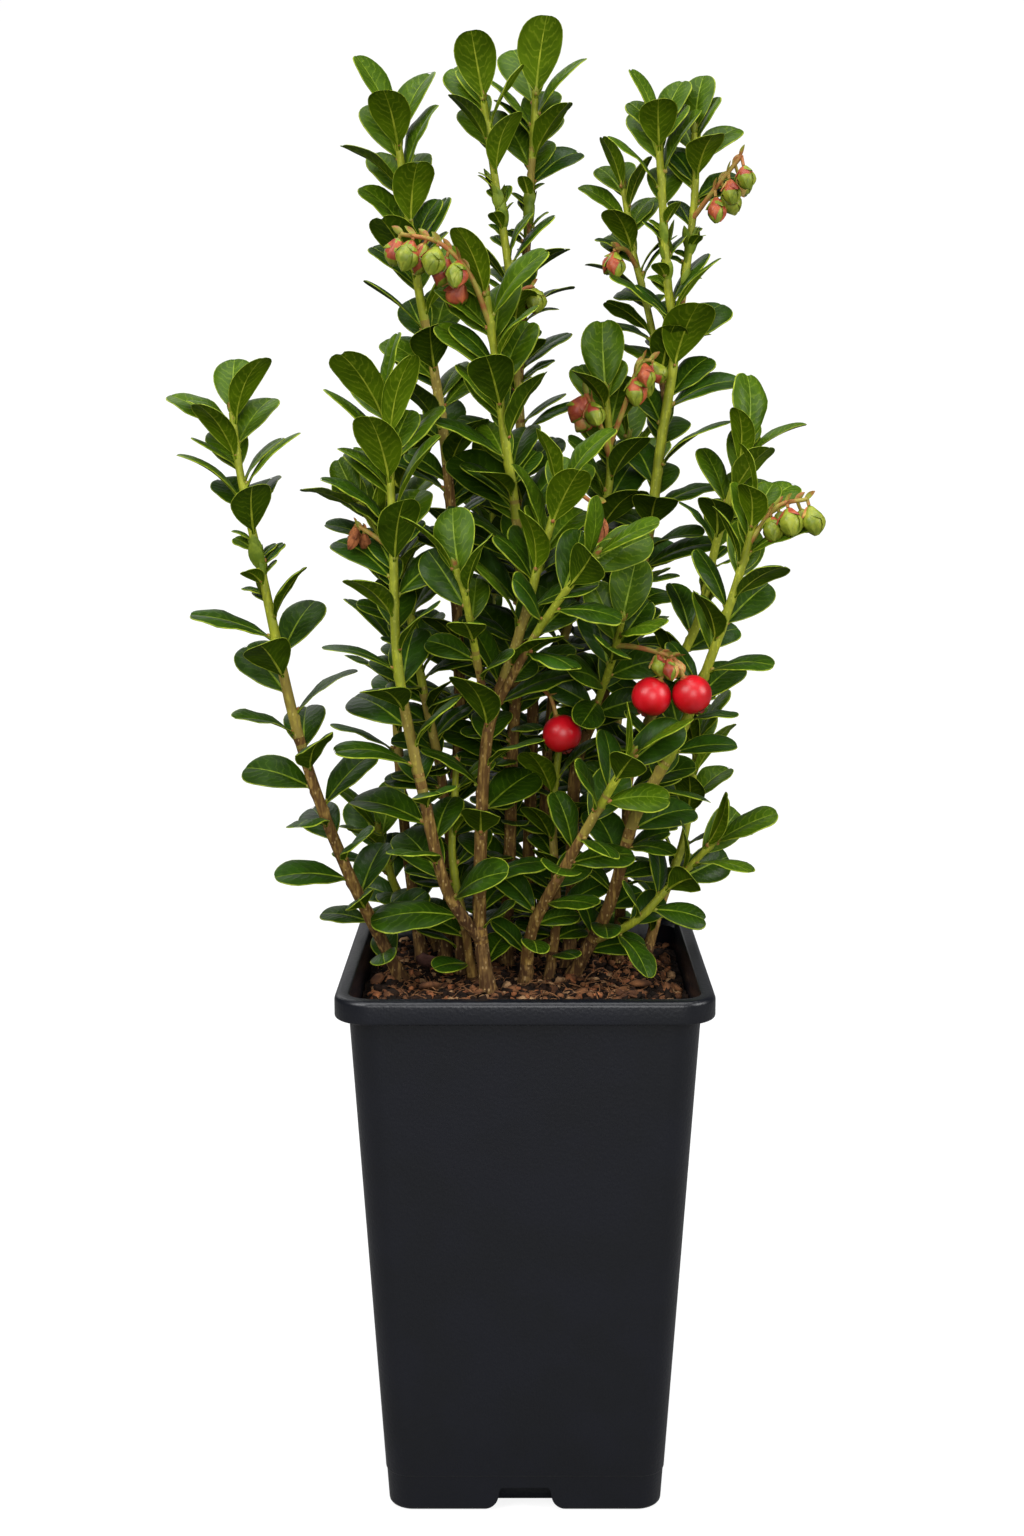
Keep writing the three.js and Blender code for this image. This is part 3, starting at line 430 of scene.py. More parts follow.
class Way:
    """A stem's middle line, in points some millimetres apart, and the smooth curve they lie on."""

    def __init__(self, knots: Sequence[Vec]) -> None:
        """Lays the line through its knots."""
        self.knots = [np.asarray(knot, float) for knot in knots]
        chords = sum(float(np.linalg.norm(b - a)) for a, b in zip(self.knots, self.knots[1:]))
        self.count = max(2, math.ceil(chords / WAY_STEP))
        self.points = np.array([self.curve(i / self.count) for i in range(self.count + 1)])
        steps = np.linalg.norm(np.diff(self.points, axis=0), axis=1)
        self.reach = np.concatenate(([0.0], np.cumsum(steps)))
        self.length = float(self.reach[-1])

    def curve(self, t: float) -> Vec:
        """Finds a point of the smooth curve.

        Args:
            t: The share of the way along the knots.

        Returns:
            The point.
        """
        knots = self.knots
        place = (len(knots) - 1) * t
        i = min(math.floor(place), len(knots) - 2)
        w = place - i
        p1, p2 = knots[i], knots[i + 1]
        p0 = knots[i - 1] if i > 0 else 2 * knots[0] - knots[1]
        p3 = knots[i + 2] if i + 2 < len(knots) else 2 * knots[-1] - knots[-2]
        t0, t1 = 0.5 * (p2 - p0), 0.5 * (p3 - p1)
        return p1 + t0 * w + (-3 * p1 + 3 * p2 - 2 * t0 - t1) * w**2 + (2 * p1 - 2 * p2 + t0 + t1) * w**3

    def span(self, distance: float) -> tuple[int, float]:
        """Finds the stretch that a distance falls in.

        Args:
            distance: The distance along the line of points.

        Returns:
            The stretch's number and the share along it.
        """
        i = 1
        while i < self.count and self.reach[i] < distance:
            i += 1
        return i, (distance - self.reach[i - 1]) / (self.reach[i] - self.reach[i - 1])

    def at(self, distance: float) -> Vec:
        """Returns the point at a distance along the line of points."""
        i, share = self.span(distance)
        return self.points[i - 1] + (self.points[i] - self.points[i - 1]) * share

    def smooth(self, distance: float) -> Vec:
        """Returns the smooth curve's point that goes with a distance along the line of points."""
        i, share = self.span(distance)
        return self.curve((i - 1 + share) / self.count)

    def bend(self, i: int) -> Vec:
        """Returns the direction at one of the line's own points."""
        return unit(self.points[min(i + 1, self.count)] - self.points[max(i - 1, 0)])

    def direction(self, distance: float) -> Vec:
        """Returns the direction at a distance along the line."""
        i, share = self.span(distance)
        start = self.bend(i - 1)
        return unit(start + (self.bend(i) - start) * share)

    def at_height(self, height: float) -> Vec:
        """Returns the line's point at a height."""
        i = int(np.argmax(self.points[:, 2] >= height))
        a, b = self.points[i - 1], self.points[i]
        return a + (b - a) * ((height - a[2]) / (b[2] - a[2]))


@dataclass(frozen=True)
class Spot:
    """Where the spiral sets a leaf: how far along the twig, how far up its leafy part, and its number."""

    distance: float
    share: float
    number: int


@dataclass(eq=False)
class Leaf:
    """A leaf's place and shape. Its root is on the twig's middle line, and its upper face looks to up."""

    owner: str
    spot: Spot
    root: Vec
    direction: Vec
    turn: float
    pitch: float
    roll: float
    length: float
    droop: float

    def __post_init__(self) -> None:
        """Works out the blade's axes and the points that are tried against other things."""
        out = outward(self.direction, self.turn)
        self.half = self.length * LEAF_WIDTH_SHARE / 2
        self.along = self.direction * math.cos(self.pitch) + out * math.sin(self.pitch)
        up = self.direction * math.sin(self.pitch) - out * math.cos(self.pitch)
        side = np.cross(self.along, up)
        twist = self.roll - math.radians(FRONT_ROLL) * side[1]
        self.up = up * math.cos(twist) + side * math.sin(twist)
        self.side = np.cross(self.along, self.up)
        self.middle = self.places(np.array([BLADE_MIDDLE]), np.zeros(1), np.zeros(1))[0]
        self.probes = self.places(PROBE_ALONG, PROBE_ACROSS * self.half, np.zeros(len(PROBE_ALONG)))

    def places(self, along: Vec, across: Vec, lift: Vec) -> Vec:
        """Places points on the drooping blade.

        Args:
            along: Shares of the leaf's length.
            across: Millimetres to the side.
            lift: Millimetres up from the blade.

        Returns:
            One point per row.
        """
        arch = lift - self.droop * self.length * along * along
        flat = self.root + np.outer(along * self.length, self.along) + np.outer(across, self.side)
        return flat + np.outer(arch, self.up)

    def touches(self, points: Vec, gap: float) -> bool:
        """Tells whether points come too close to the blade.

        Args:
            points: The points, one per row.
            gap: The least distance from the blade's face.

        Returns:
            True if any of them lies in the blade or no further from its face than the gap.
        """
        away = points - self.root
        along = away @ self.along / self.length
        inside = (along >= PETIOLE_SHARE) & (along <= 1 + OUTLINE_GAP / self.length)
        outline = self.half * blade_width(np.minimum(along, OUTLINE_END)) + OUTLINE_GAP
        inside &= np.abs(away @ self.side) <= outline
        inside &= np.abs(away @ self.up + self.droop * self.length * along * along) < gap
        return bool(inside.any())

    def meets(self, other: Leaf, least_gap: float) -> bool:
        """Returns True if this blade and another come closer to each other than the gap allows."""
        gap = min(OWN_BLADE_GAP, least_gap) if self.owner == other.owner else least_gap
        return other.touches(self.probes, gap) or self.touches(other.probes, gap)

    def clears_pot(self) -> bool:
        """Returns True if the blade stays out of the pot's rim and the potting mix."""
        reach = np.maximum(np.abs(self.probes[:, 0]), np.abs(self.probes[:, 1]))
        floor = np.where(reach > RIM_WIDTH / 2 - LIP_WIDTH - POT_GAP, POT_HEIGHT, SOIL_TOP)
        return bool(np.all((reach > RIM_WIDTH / 2 + POT_GAP) | (self.probes[:, 2] > floor + POT_GAP)))


@dataclass(frozen=True)
class Bead:
    """A ball that stands for a bit of twig, bud or berry where leaves must keep clear of it."""

    owner: str
    at: Vec
    radius: float
    fruit: bool = False


@dataclass(eq=False)
class Twig:
    """A twig with its own middle line and taper, on which leaves are set from bare upwards."""

    owner: str
    plan: TwigPlan
    root: Sequence[Vec]
    bare: float
    leaves: list[Leaf] = field(default_factory=list)
    low_leaves: list[Leaf] = field(default_factory=list)
    tip_leaves: list[Leaf] = field(default_factory=list)

    def __post_init__(self) -> None:
        """Lays the middle line."""
        self.way = Way([*self.root, *self.plan.way])

    def radius_at(self, distance: float) -> float:
        """Returns the twig's radius at a distance along it."""
        return mix(self.plan.radius[0], self.plan.radius[1], distance / self.way.length)

    def shift(self, leaf: Leaf) -> Vec:
        """Returns how far the smooth twig lies from the line of points at a leaf's root."""
        return self.way.smooth(leaf.spot.distance) - self.way.at(leaf.spot.distance)

    def beads(self) -> list[Bead]:
        """Returns the beads along the twig."""
        count = math.ceil(self.way.length / BEAD_SPACING)
        places = [self.way.length * i / count for i in range(count + 1)]
        return [Bead(self.owner, self.way.at(d), self.radius_at(d) + TWIG_GAP) for d in places]

    def leaf_length(self, share: float, height: float) -> float:
        """Finds how long a leaf is.

        Args:
            share: How far up the leafy part of the twig it stands.
            height: The height of its root.

        Returns:
            Its length before the seeded swing in size.
        """
        low, middle, top = self.plan.leaf
        plain = mix(low, middle, share * 2) if share < 0.5 else mix(middle, top, share * 2 - 1)
        return plain * WAIST_SIZE if abs(height - self.plan.waist) < WAIST_REACH else plain

    def spot(self, number: float) -> Spot:
        """Returns the spot of a leaf's number, or of a place between two numbers."""
        share = 1 - (1 - (number + FIRST_LEAF) / self.plan.leaves) ** TIP_CROWDING
        return Spot(mix(self.bare, self.way.length, share), share, math.floor(number))

    def leaf_at(self, spot: Spot, seed: int, attempt: int, scale: float) -> Leaf:
        """Makes a leaf.

        Args:
            spot: Where the spiral sets it.
            seed: The twig's seed.
            attempt: How many places were taken already. Each moves the leaf on a little.
            scale: Its size as a share of the plain rule's.

        Returns:
            The leaf.
        """
        following = seeded(seed + spot.number * LEAF_SEED)

        def swing() -> float:
            """Returns the next chance number, from -1 to 1."""
            return following() * 2 - 1

        plan = self.plan
        side = 1 if attempt % 2 == 0 else -1
        turn = plan.turn + (spot.number + 1 - plan.leaves) * GOLDEN_TURN + swing() * TURN_JITTER
        turn += side * math.ceil(attempt / 2) * TRY_TURN
        low, top = plan.pitch
        upright = TIP_UPRIGHT if spot.number + 1 == plan.leaves else 1
        pitch = (mix(low, top, spot.share**PITCH_FALL) + swing() * PITCH_JITTER) * upright
        roll = swing() * ROLL_JITTER
        root = self.way.at(spot.distance)
        size = (1 + swing() * SIZE_JITTER) * (1 - attempt * TRY_SHRINK)
        droop = mix(LOW_DROOP, TOP_DROOP, spot.share) * (1 + swing() * DROOP_JITTER)
        length = self.leaf_length(spot.share, float(root[2])) * size * scale
        angles = (math.radians(turn), math.radians(pitch), math.radians(roll))
        return Leaf(self.owner, spot, root, self.way.direction(spot.distance), *angles, length, droop)


@dataclass(frozen=True)
class Bud:
    """A flower bud's middle, the direction its tip points, and its length."""

    at: Vec
    axis: Vec
    length: float


@dataclass(eq=False)
class Truss:
    """A stalk that bears nodding buds towards its end, and berries on stalks of their own."""

    owner: str
    plan: TrussPlan
    root: Vec

    def __post_init__(self) -> None:
        """Lays the stalk's middle line."""
        self.way = Way([self.root, *self.plan.way])

    def buds(self) -> list[Bud]:
        """Returns the buds as the solids have them, in order from the root."""
        made = []
        size = self.plan.size
        for i in range(self.plan.buds):
            distance = self.way.length * mix(BUD_RUN, 1, (i + 1) / self.plan.buds)
            direction = self.way.direction(distance)
            spread = outward(direction, math.radians(i * GOLDEN_TURN)) * BUD_SPREAD
            axis = unit(direction + spread - UP * BUD_NOD)
            made.append(Bud(self.way.at(distance) + axis * (size * (0.5 - BUD_SINK / 2)), axis, size))
        return made

    def berries(self) -> list[Vec]:
        """Returns the berries' middles."""
        return [np.array(point, float) for point in self.plan.berries]

    def beads(self) -> list[Bead]:
        """Returns the beads of the stalk, buds and berries."""
        count = math.ceil(self.way.length / BEAD_SPACING)
        stalk = [self.way.at(self.way.length * (i + 1) / count) for i in range(count)]
        balls = [(at, BERRY_STALK + TWIG_GAP) for at in stalk]
        balls += [(bud.at, bud.length / 2 + CLEARANCE) for bud in self.buds()]
        balls += [(at, BERRY_RADIUS + TWIG_GAP) for at in self.berries()]
        return [Bead(self.owner, at, radius, True) for at, radius in balls]


@dataclass
class Shoot:
    """A grown shoot: its plan, its twigs with the main one first, and its trusses."""

    plan: ShootPlan
    twigs: list[Twig]
    trusses: list[Truss]

    def leaves(self) -> list[Leaf]:
        """Returns the leaves of all the shoot's twigs."""
        return [leaf for twig in self.twigs for leaf in twig.leaves]


@dataclass(frozen=True)
class LeafRule:
    """How a kind of leaf is set: its size, its least gap to others, and how far it may face the front."""

    scale: float = 1.0
    gap: float = BLADE_GAP
    forward: float = 1.0


SOURCE_RULE = LeafRule()
LOW_RULE = LeafRule(LOW_LEAF_SIZE, FINE_LEAF_GAP)
TIP_RULE = LeafRule(TIP_LEAF_SIZE, FINE_LEAF_GAP, TIP_LEAF_FORWARD)


class Planting:
    """Everything that grows from the potting mix, placed as the solids are."""

    def __init__(self, plans: Sequence[ShootPlan]) -> None:
        """Grows the shoots in the order of their plans."""
        self.shoots: list[Shoot] = []
        for plan in plans:
            self.shoots.append(self.framework(plan))
        pieces = [piece for shoot in self.shoots for piece in (*shoot.twigs, *shoot.trusses)]
        beads = [bead for piece in pieces for bead in piece.beads()]
        self.obstacles = {plan.name: self.others(beads, plan.name) for plan in plans}
        self.grown: list[Leaf] = []
        seeds = [(number + 1) * SHOOT_SEED for number in range(len(plans))]
        for seed, shoot in zip(seeds, self.shoots):
            for k, twig in enumerate(shoot.twigs):
                self.grow_leaves(twig, seed + k * TWIG_SEED)
        self.source_leaves = len(self.grown)
        for seed, shoot in zip(seeds, self.shoots):
            if shoot.plan.foot >= LONG_FOOT:
                self.grow_low_leaves(shoot.twigs[0], seed, LONG_FOOT_RISE, LONG_FOOT_STEP)
            elif shoot.plan.foot:
                self.grow_low_leaves(shoot.twigs[0], seed, 0.0, SHORT_FOOT_STEP)
            for k, twig in enumerate(shoot.twigs):
                self.grow_tip_leaves(twig, seed + k * TWIG_SEED + TIP_LEAF_SEED)

    @staticmethod
    def others(beads: Sequence[Bead], owner: str) -> tuple[Vec, Vec]:
        """Returns the middles and radii of all fruit and of the twigs of every shoot but the owner's."""
        kept = [bead for bead in beads if bead.owner != owner or bead.fruit]
        return np.array([bead.at for bead in kept]), np.array([bead.radius for bead in kept])

    def framework(self, plan: ShootPlan) -> Shoot:
        """Makes a shoot's twigs and trusses, still without leaves.

        Args:
            plan: The shoot's plan, whose carrier is made already.

        Returns:
            The bare shoot.
        """
        name = plan.name
        carrier = next((shoot.twigs[0] for shoot in self.shoots if shoot.plan.name == plan.carrier), None)
        root = [carrier.way.at_height(plan.main.height)] if carrier else []
        main = Twig(name, plan.main, root, (plan.foot or SIDE_BARE) + CLEARANCE)
        forks = [Twig(name, fork, [main.way.at_height(fork.height)], FORK_BARE + CLEARANCE)
                 for fork in plan.forks]
        twigs = [main, *forks]
        trusses = [Truss(name, truss, twigs[truss.twig].way.at_height(truss.height))
                   for truss in plan.trusses]
        return Shoot(plan, twigs, trusses)

    def grow_leaves(self, twig: Twig, seed: int) -> None:
        """Sets a twig's leaves from its tip down, as the solids have them."""
        for number in reversed(range(twig.plan.leaves)):
            self.settle(twig, twig.spot(number), seed, SOURCE_RULE, twig.leaves)

    def grow_low_leaves(self, twig: Twig, seed: int, rise: float, step: float) -> None:
        """Carries a stem's leaves on down it in the same spiral.

        Args:
            twig: The stem.
            seed: Its seed.
            rise: How far above its bare foot they start.
            step: How far apart they stand.
        """
        number = -1
        distance = twig.bare + rise
        while distance > LOWEST_LEAF:
            self.settle(twig, Spot(distance, 0.0, number), seed, LOW_RULE, twig.low_leaves)
            number -= 1
            distance -= step

    def grow_tip_leaves(self, twig: Twig, seed: int) -> None:
        """Sets smaller leaves between the others at the sides and back of a twig's upper part."""
        for number in reversed(range(twig.plan.leaves - 1)):
            between = twig.spot(number + 0.5)
            if twig.way.at(between.distance)[2] < TIP_LEAF_HEIGHT:
                break
            spot = Spot(between.distance, between.share, number + TIP_LEAF_SHIFT)
            self.settle(twig, spot, seed, TIP_RULE, twig.tip_leaves)

    def settle(self, twig: Twig, spot: Spot, seed: int, rule: LeafRule, kept: list[Leaf]) -> None:
        """Grows a leaf at the first of its places that is free, or leaves it out.

        Args:
            twig: The twig that carries it.
            spot: Where the spiral sets it.
            seed: The twig's seed.
            rule: How its kind is set.
            kept: The list that takes it.
        """
        for attempt in range(TRIES):
            leaf = twig.leaf_at(spot, seed, attempt, rule.scale)
            free = leaf.along[1] > -rule.forward and leaf.clears_pot() and self.clears_beads(leaf)
            if free and self.clears_leaves(leaf, rule.gap):
                kept.append(leaf)
                self.grown.append(leaf)
                return

    def clears_beads(self, leaf: Leaf) -> bool:
        """Returns True if a leaf's blade stays out of all fruit and of other shoots' twigs."""
        at, radius = self.obstacles[leaf.owner]
        close = np.linalg.norm(at - leaf.middle, axis=1) < leaf.length + radius
        gaps = np.linalg.norm(leaf.probes[:, None, :] - at[close][None, :, :], axis=2)
        return bool((gaps > radius[close]).all())

    def clears_leaves(self, leaf: Leaf, gap: float) -> bool:
        """Returns True if a leaf's blade keeps the gap to every grown leaf's."""
        if not self.grown:
            return True
        middles = np.array([grown.middle for grown in self.grown])
        lengths = np.array([grown.length for grown in self.grown])
        close = np.linalg.norm(middles - leaf.middle, axis=1) <= (leaf.length + lengths) / 2 + OUTLINE_GAP
        return not any(leaf.meets(self.grown[i], gap) for i in np.nonzero(close)[0])


@dataclass
class Draft:
    """Points and faces gathered for one piece, in millimetres, with a finish number for each face."""

    points: list[Vec] = field(default_factory=list)
    corners: list[Vec] = field(default_factory=list)
    sizes: list[Vec] = field(default_factory=list)
    slots: list[Vec] = field(default_factory=list)
    places: list[Vec] = field(default_factory=list)
    count: int = 0

    def add(self, points: Vec, faces: Vec, slots: Vec | int, places: Vec | None = None) -> None:
        """Adds a patch.

        Args:
            points: The patch's points, one per row.
            faces: One face per row, as three or four numbers of the patch's points.
            slots: The number of each face's finish, or one number for all.
            places: Where each point lies on the patch, as two numbers for the pattern, or None.
        """
        self.points.append(points)
        self.corners.append((faces + self.count).ravel())
        self.sizes.append(np.full(len(faces), faces.shape[1]))
        self.slots.append(np.broadcast_to(np.asarray(slots), (len(faces),)))
        self.places.append(np.zeros((len(points), 2)) if places is None else places)
        self.count += len(points)

    def rings(self, points: Vec, sides: int, slots: Vec | int, turned: bool = False) -> None:
        """Adds a tube whose points are given ring by ring, facing the other way where it is turned."""
        faces = grid_faces(len(points) // sides, sides, wrap=True)
        self.add(points, faces[:, ::-1] if turned else faces, slots)

    def sheet(self, rows: Sequence[Sequence[Vec]], slots: Vec | int) -> None:
        """Adds an open surface given as rows of points."""
        grid = np.array(rows)
        self.add(grid.reshape(-1, 3), grid_faces(*grid.shape[:2]), slots)

    def fan(self, ring: Vec, middle: Vec | Point, slot: int, turned: bool = False) -> None:
        """Closes a ring with a fan of faces.

        Args:
            ring: The ring's points.
            middle: The point where the faces meet.
            slot: The number of their finish.
            turned: Whether they look the other way.
        """
        count = len(ring)
        around = np.arange(count)
        faces = np.stack((around, (around + 1) % count, np.full(count, count)), axis=1)
        self.add(np.concatenate((ring, [middle])), faces[:, ::-1] if turned else faces, slot)

    def mesh(self, name: str) -> bpy.types.Mesh:
        """Makes the mesh.

        Args:
            name: Its name.

        Returns:
            The mesh, in metres.
        """
        points = np.concatenate(self.points) * MM
        corners = np.concatenate(self.corners).astype(np.int32)
        sizes = np.concatenate(self.sizes)
        starts = np.concatenate(([0], np.cumsum(sizes)[:-1])).astype(np.int32)
        mesh = bpy.data.meshes.new(name)
        mesh.vertices.add(len(points))
        mesh.vertices.foreach_set("co", points.ravel())
        mesh.loops.add(len(corners))
        mesh.loops.foreach_set("vertex_index", corners)
        mesh.polygons.add(len(sizes))
        mesh.polygons.foreach_set("loop_start", starts)
        mesh.polygons.foreach_set("material_index", np.concatenate(self.slots).astype(np.int32))
        mesh.polygons.foreach_set("use_smooth", np.ones(len(sizes), bool))
        pattern = mesh.uv_layers.new(name="pattern")
        pattern.data.foreach_set("uv", np.concatenate(self.places)[corners].ravel().astype(np.float32))
        mesh.update(calc_edges=True)
        return mesh

    def piece(self, name: str, finishes: Sequence[Material]) -> bpy.types.Object:
        """Makes the piece.

        Args:
            name: Its name.
            finishes: Its finishes in the order of their numbers.

        Returns:
            The piece, placed in the scene.
        """
        mesh = self.mesh(name)
        for finish in finishes:
            mesh.materials.append(finish)
        made = bpy.data.objects.new(name, mesh)
        bpy.context.scene.collection.objects.link(made)
        return made


def grid_faces(rows: int, columns: int, wrap: bool = False) -> Vec:
    """Lists the faces of a grid of points given row by row.

    Args:
        rows: How many rows of points there are.
        columns: How many points a row has.
        wrap: Whether the last column joins on to the first.

    Returns:
        One face of four point numbers per row.
    """
    across = columns if wrap else columns - 1
    row, column = np.meshgrid(np.arange(rows - 1), np.arange(across), indexing="ij")
    row, column = row.ravel() * columns, column.ravel()
    after = (column + 1) % columns
    return np.stack((row + column, row + after, row + columns + after, row + columns + column), axis=1)


def smoothstep(value: Vec | float) -> Vec | float:
    """Returns an even rise from 0 to 1 that starts and ends softly."""
    share = np.clip(value, 0, 1)
    return share * share * (3 - 2 * share)


def hump(value: Vec | float, width: float) -> Vec | float:
    """Returns a bell curve that is 1 at zero and a third at the width."""
    return np.exp(-((value / width) ** 2))


def turns_of(count: int) -> Vec:
    """Returns even turns round a circle, in radians."""
    return np.arange(count) * FULL_TURN / count


def tangents(middles: Vec) -> Vec:
    """Returns the direction of a line of points at each of them."""
    return unit(np.gradient(middles, axis=0))


class Noise:
    """Smooth noise over space, made of a few sine waves that cross each other."""

    WAVES = 7
    WAVE_SIZE = 1.7

    def __init__(self, seed: int, size: float) -> None:
        """Chooses the waves for swells of about a size in millimetres."""
        chance = np.random.default_rng(seed)
        self.directions = chance.normal(size=(self.WAVES, 3)) * (FULL_TURN / (size * self.WAVE_SIZE))
        self.phases = chance.uniform(0, FULL_TURN, self.WAVES)

    def at(self, points: Vec) -> Vec:
        """Returns a number from about -1 to 1 for each point."""
        return np.sin(points @ self.directions.T + self.phases).sum(axis=1) / math.sqrt(self.WAVES * 2)


def tube(middles: Vec, directions: Vec, radii: Vec, sides: int) -> Vec:
    """Places the points of a tube, ring by ring.

    Args:
        middles: The middle of each ring.
        directions: The tube's direction at each ring.
        radii: One radius per ring, or one row of radii per ring.
        sides: How many points a ring has.

    Returns:
        One point per row.
    """
    radii = radii[:, None] * np.ones(sides) if radii.ndim == 1 else radii
    turns = turns_of(sides)[None, :, None]
    first, second = cross_axes(directions)
    around = first[:, None, :] * np.cos(turns) + second[:, None, :] * np.sin(turns)
    return (middles[:, None, :] + around * radii[:, :, None]).reshape(-1, 3)


def lathe(at: Vec, axis: Vec, profile: Vec, sides: int, lobes: int = 0, lobing: float = 0.0) -> Vec:
    """Places the points of a round shape on an axis, ring by ring.

    Args:
        at: Where the profile's zero lies.
        axis: The axis' direction.
        profile: Rows of a distance along the axis and a radius.
        sides: How many points a ring has.
        lobes: How many ribs run along the shape.
        lobing: How far the ribs stand out, as a share of the radius.

    Returns:
        One point per row.
    """
    turns = turns_of(sides)
    first, second = cross_axes(axis)
    radii = profile[:, 1][:, None] * (1 + lobing * np.cos(lobes * turns))[None, :]
    around = first * np.cos(turns)[:, None] + second * np.sin(turns)[:, None]
    points = at + axis * profile[:, 0][:, None, None] + around[None, :, :] * radii[:, :, None]
    return points.reshape(-1, 3)


class LeafSlot(Enum):
    """The finishes of a leaf piece."""

    UPPER_YOUNG = 0
    UPPER_MATURE = 1
    UPPER_DEEP = 2
    UNDER_YOUNG = 3
    UNDER_MATURE = 4
    UNDER_DEEP = 5
    RIM = 6
    UPPER_VEIN = 7
    UNDER_VEIN = 8


@dataclass(frozen=True)
class LeafHabit:
    """How one leaf's blade differs from a plain flat one.

    fold lifts the two halves and roll turns the rim down, both as shares of the half width. curl bends
    the outer half back as a share of the length. twist is in radians from root to tip, sway bends the
    tip sideways as a share of the length, and notch takes a share of the length out of the tip. wave
    ripples the rim, and phase says where the ripples start. age picks the finish, from young to deep.
    """

    age: LeafSlot
    fold: float
    roll: float
    curl: float
    twist: float
    sway: float
    notch: float
    wave: float
    phase: float


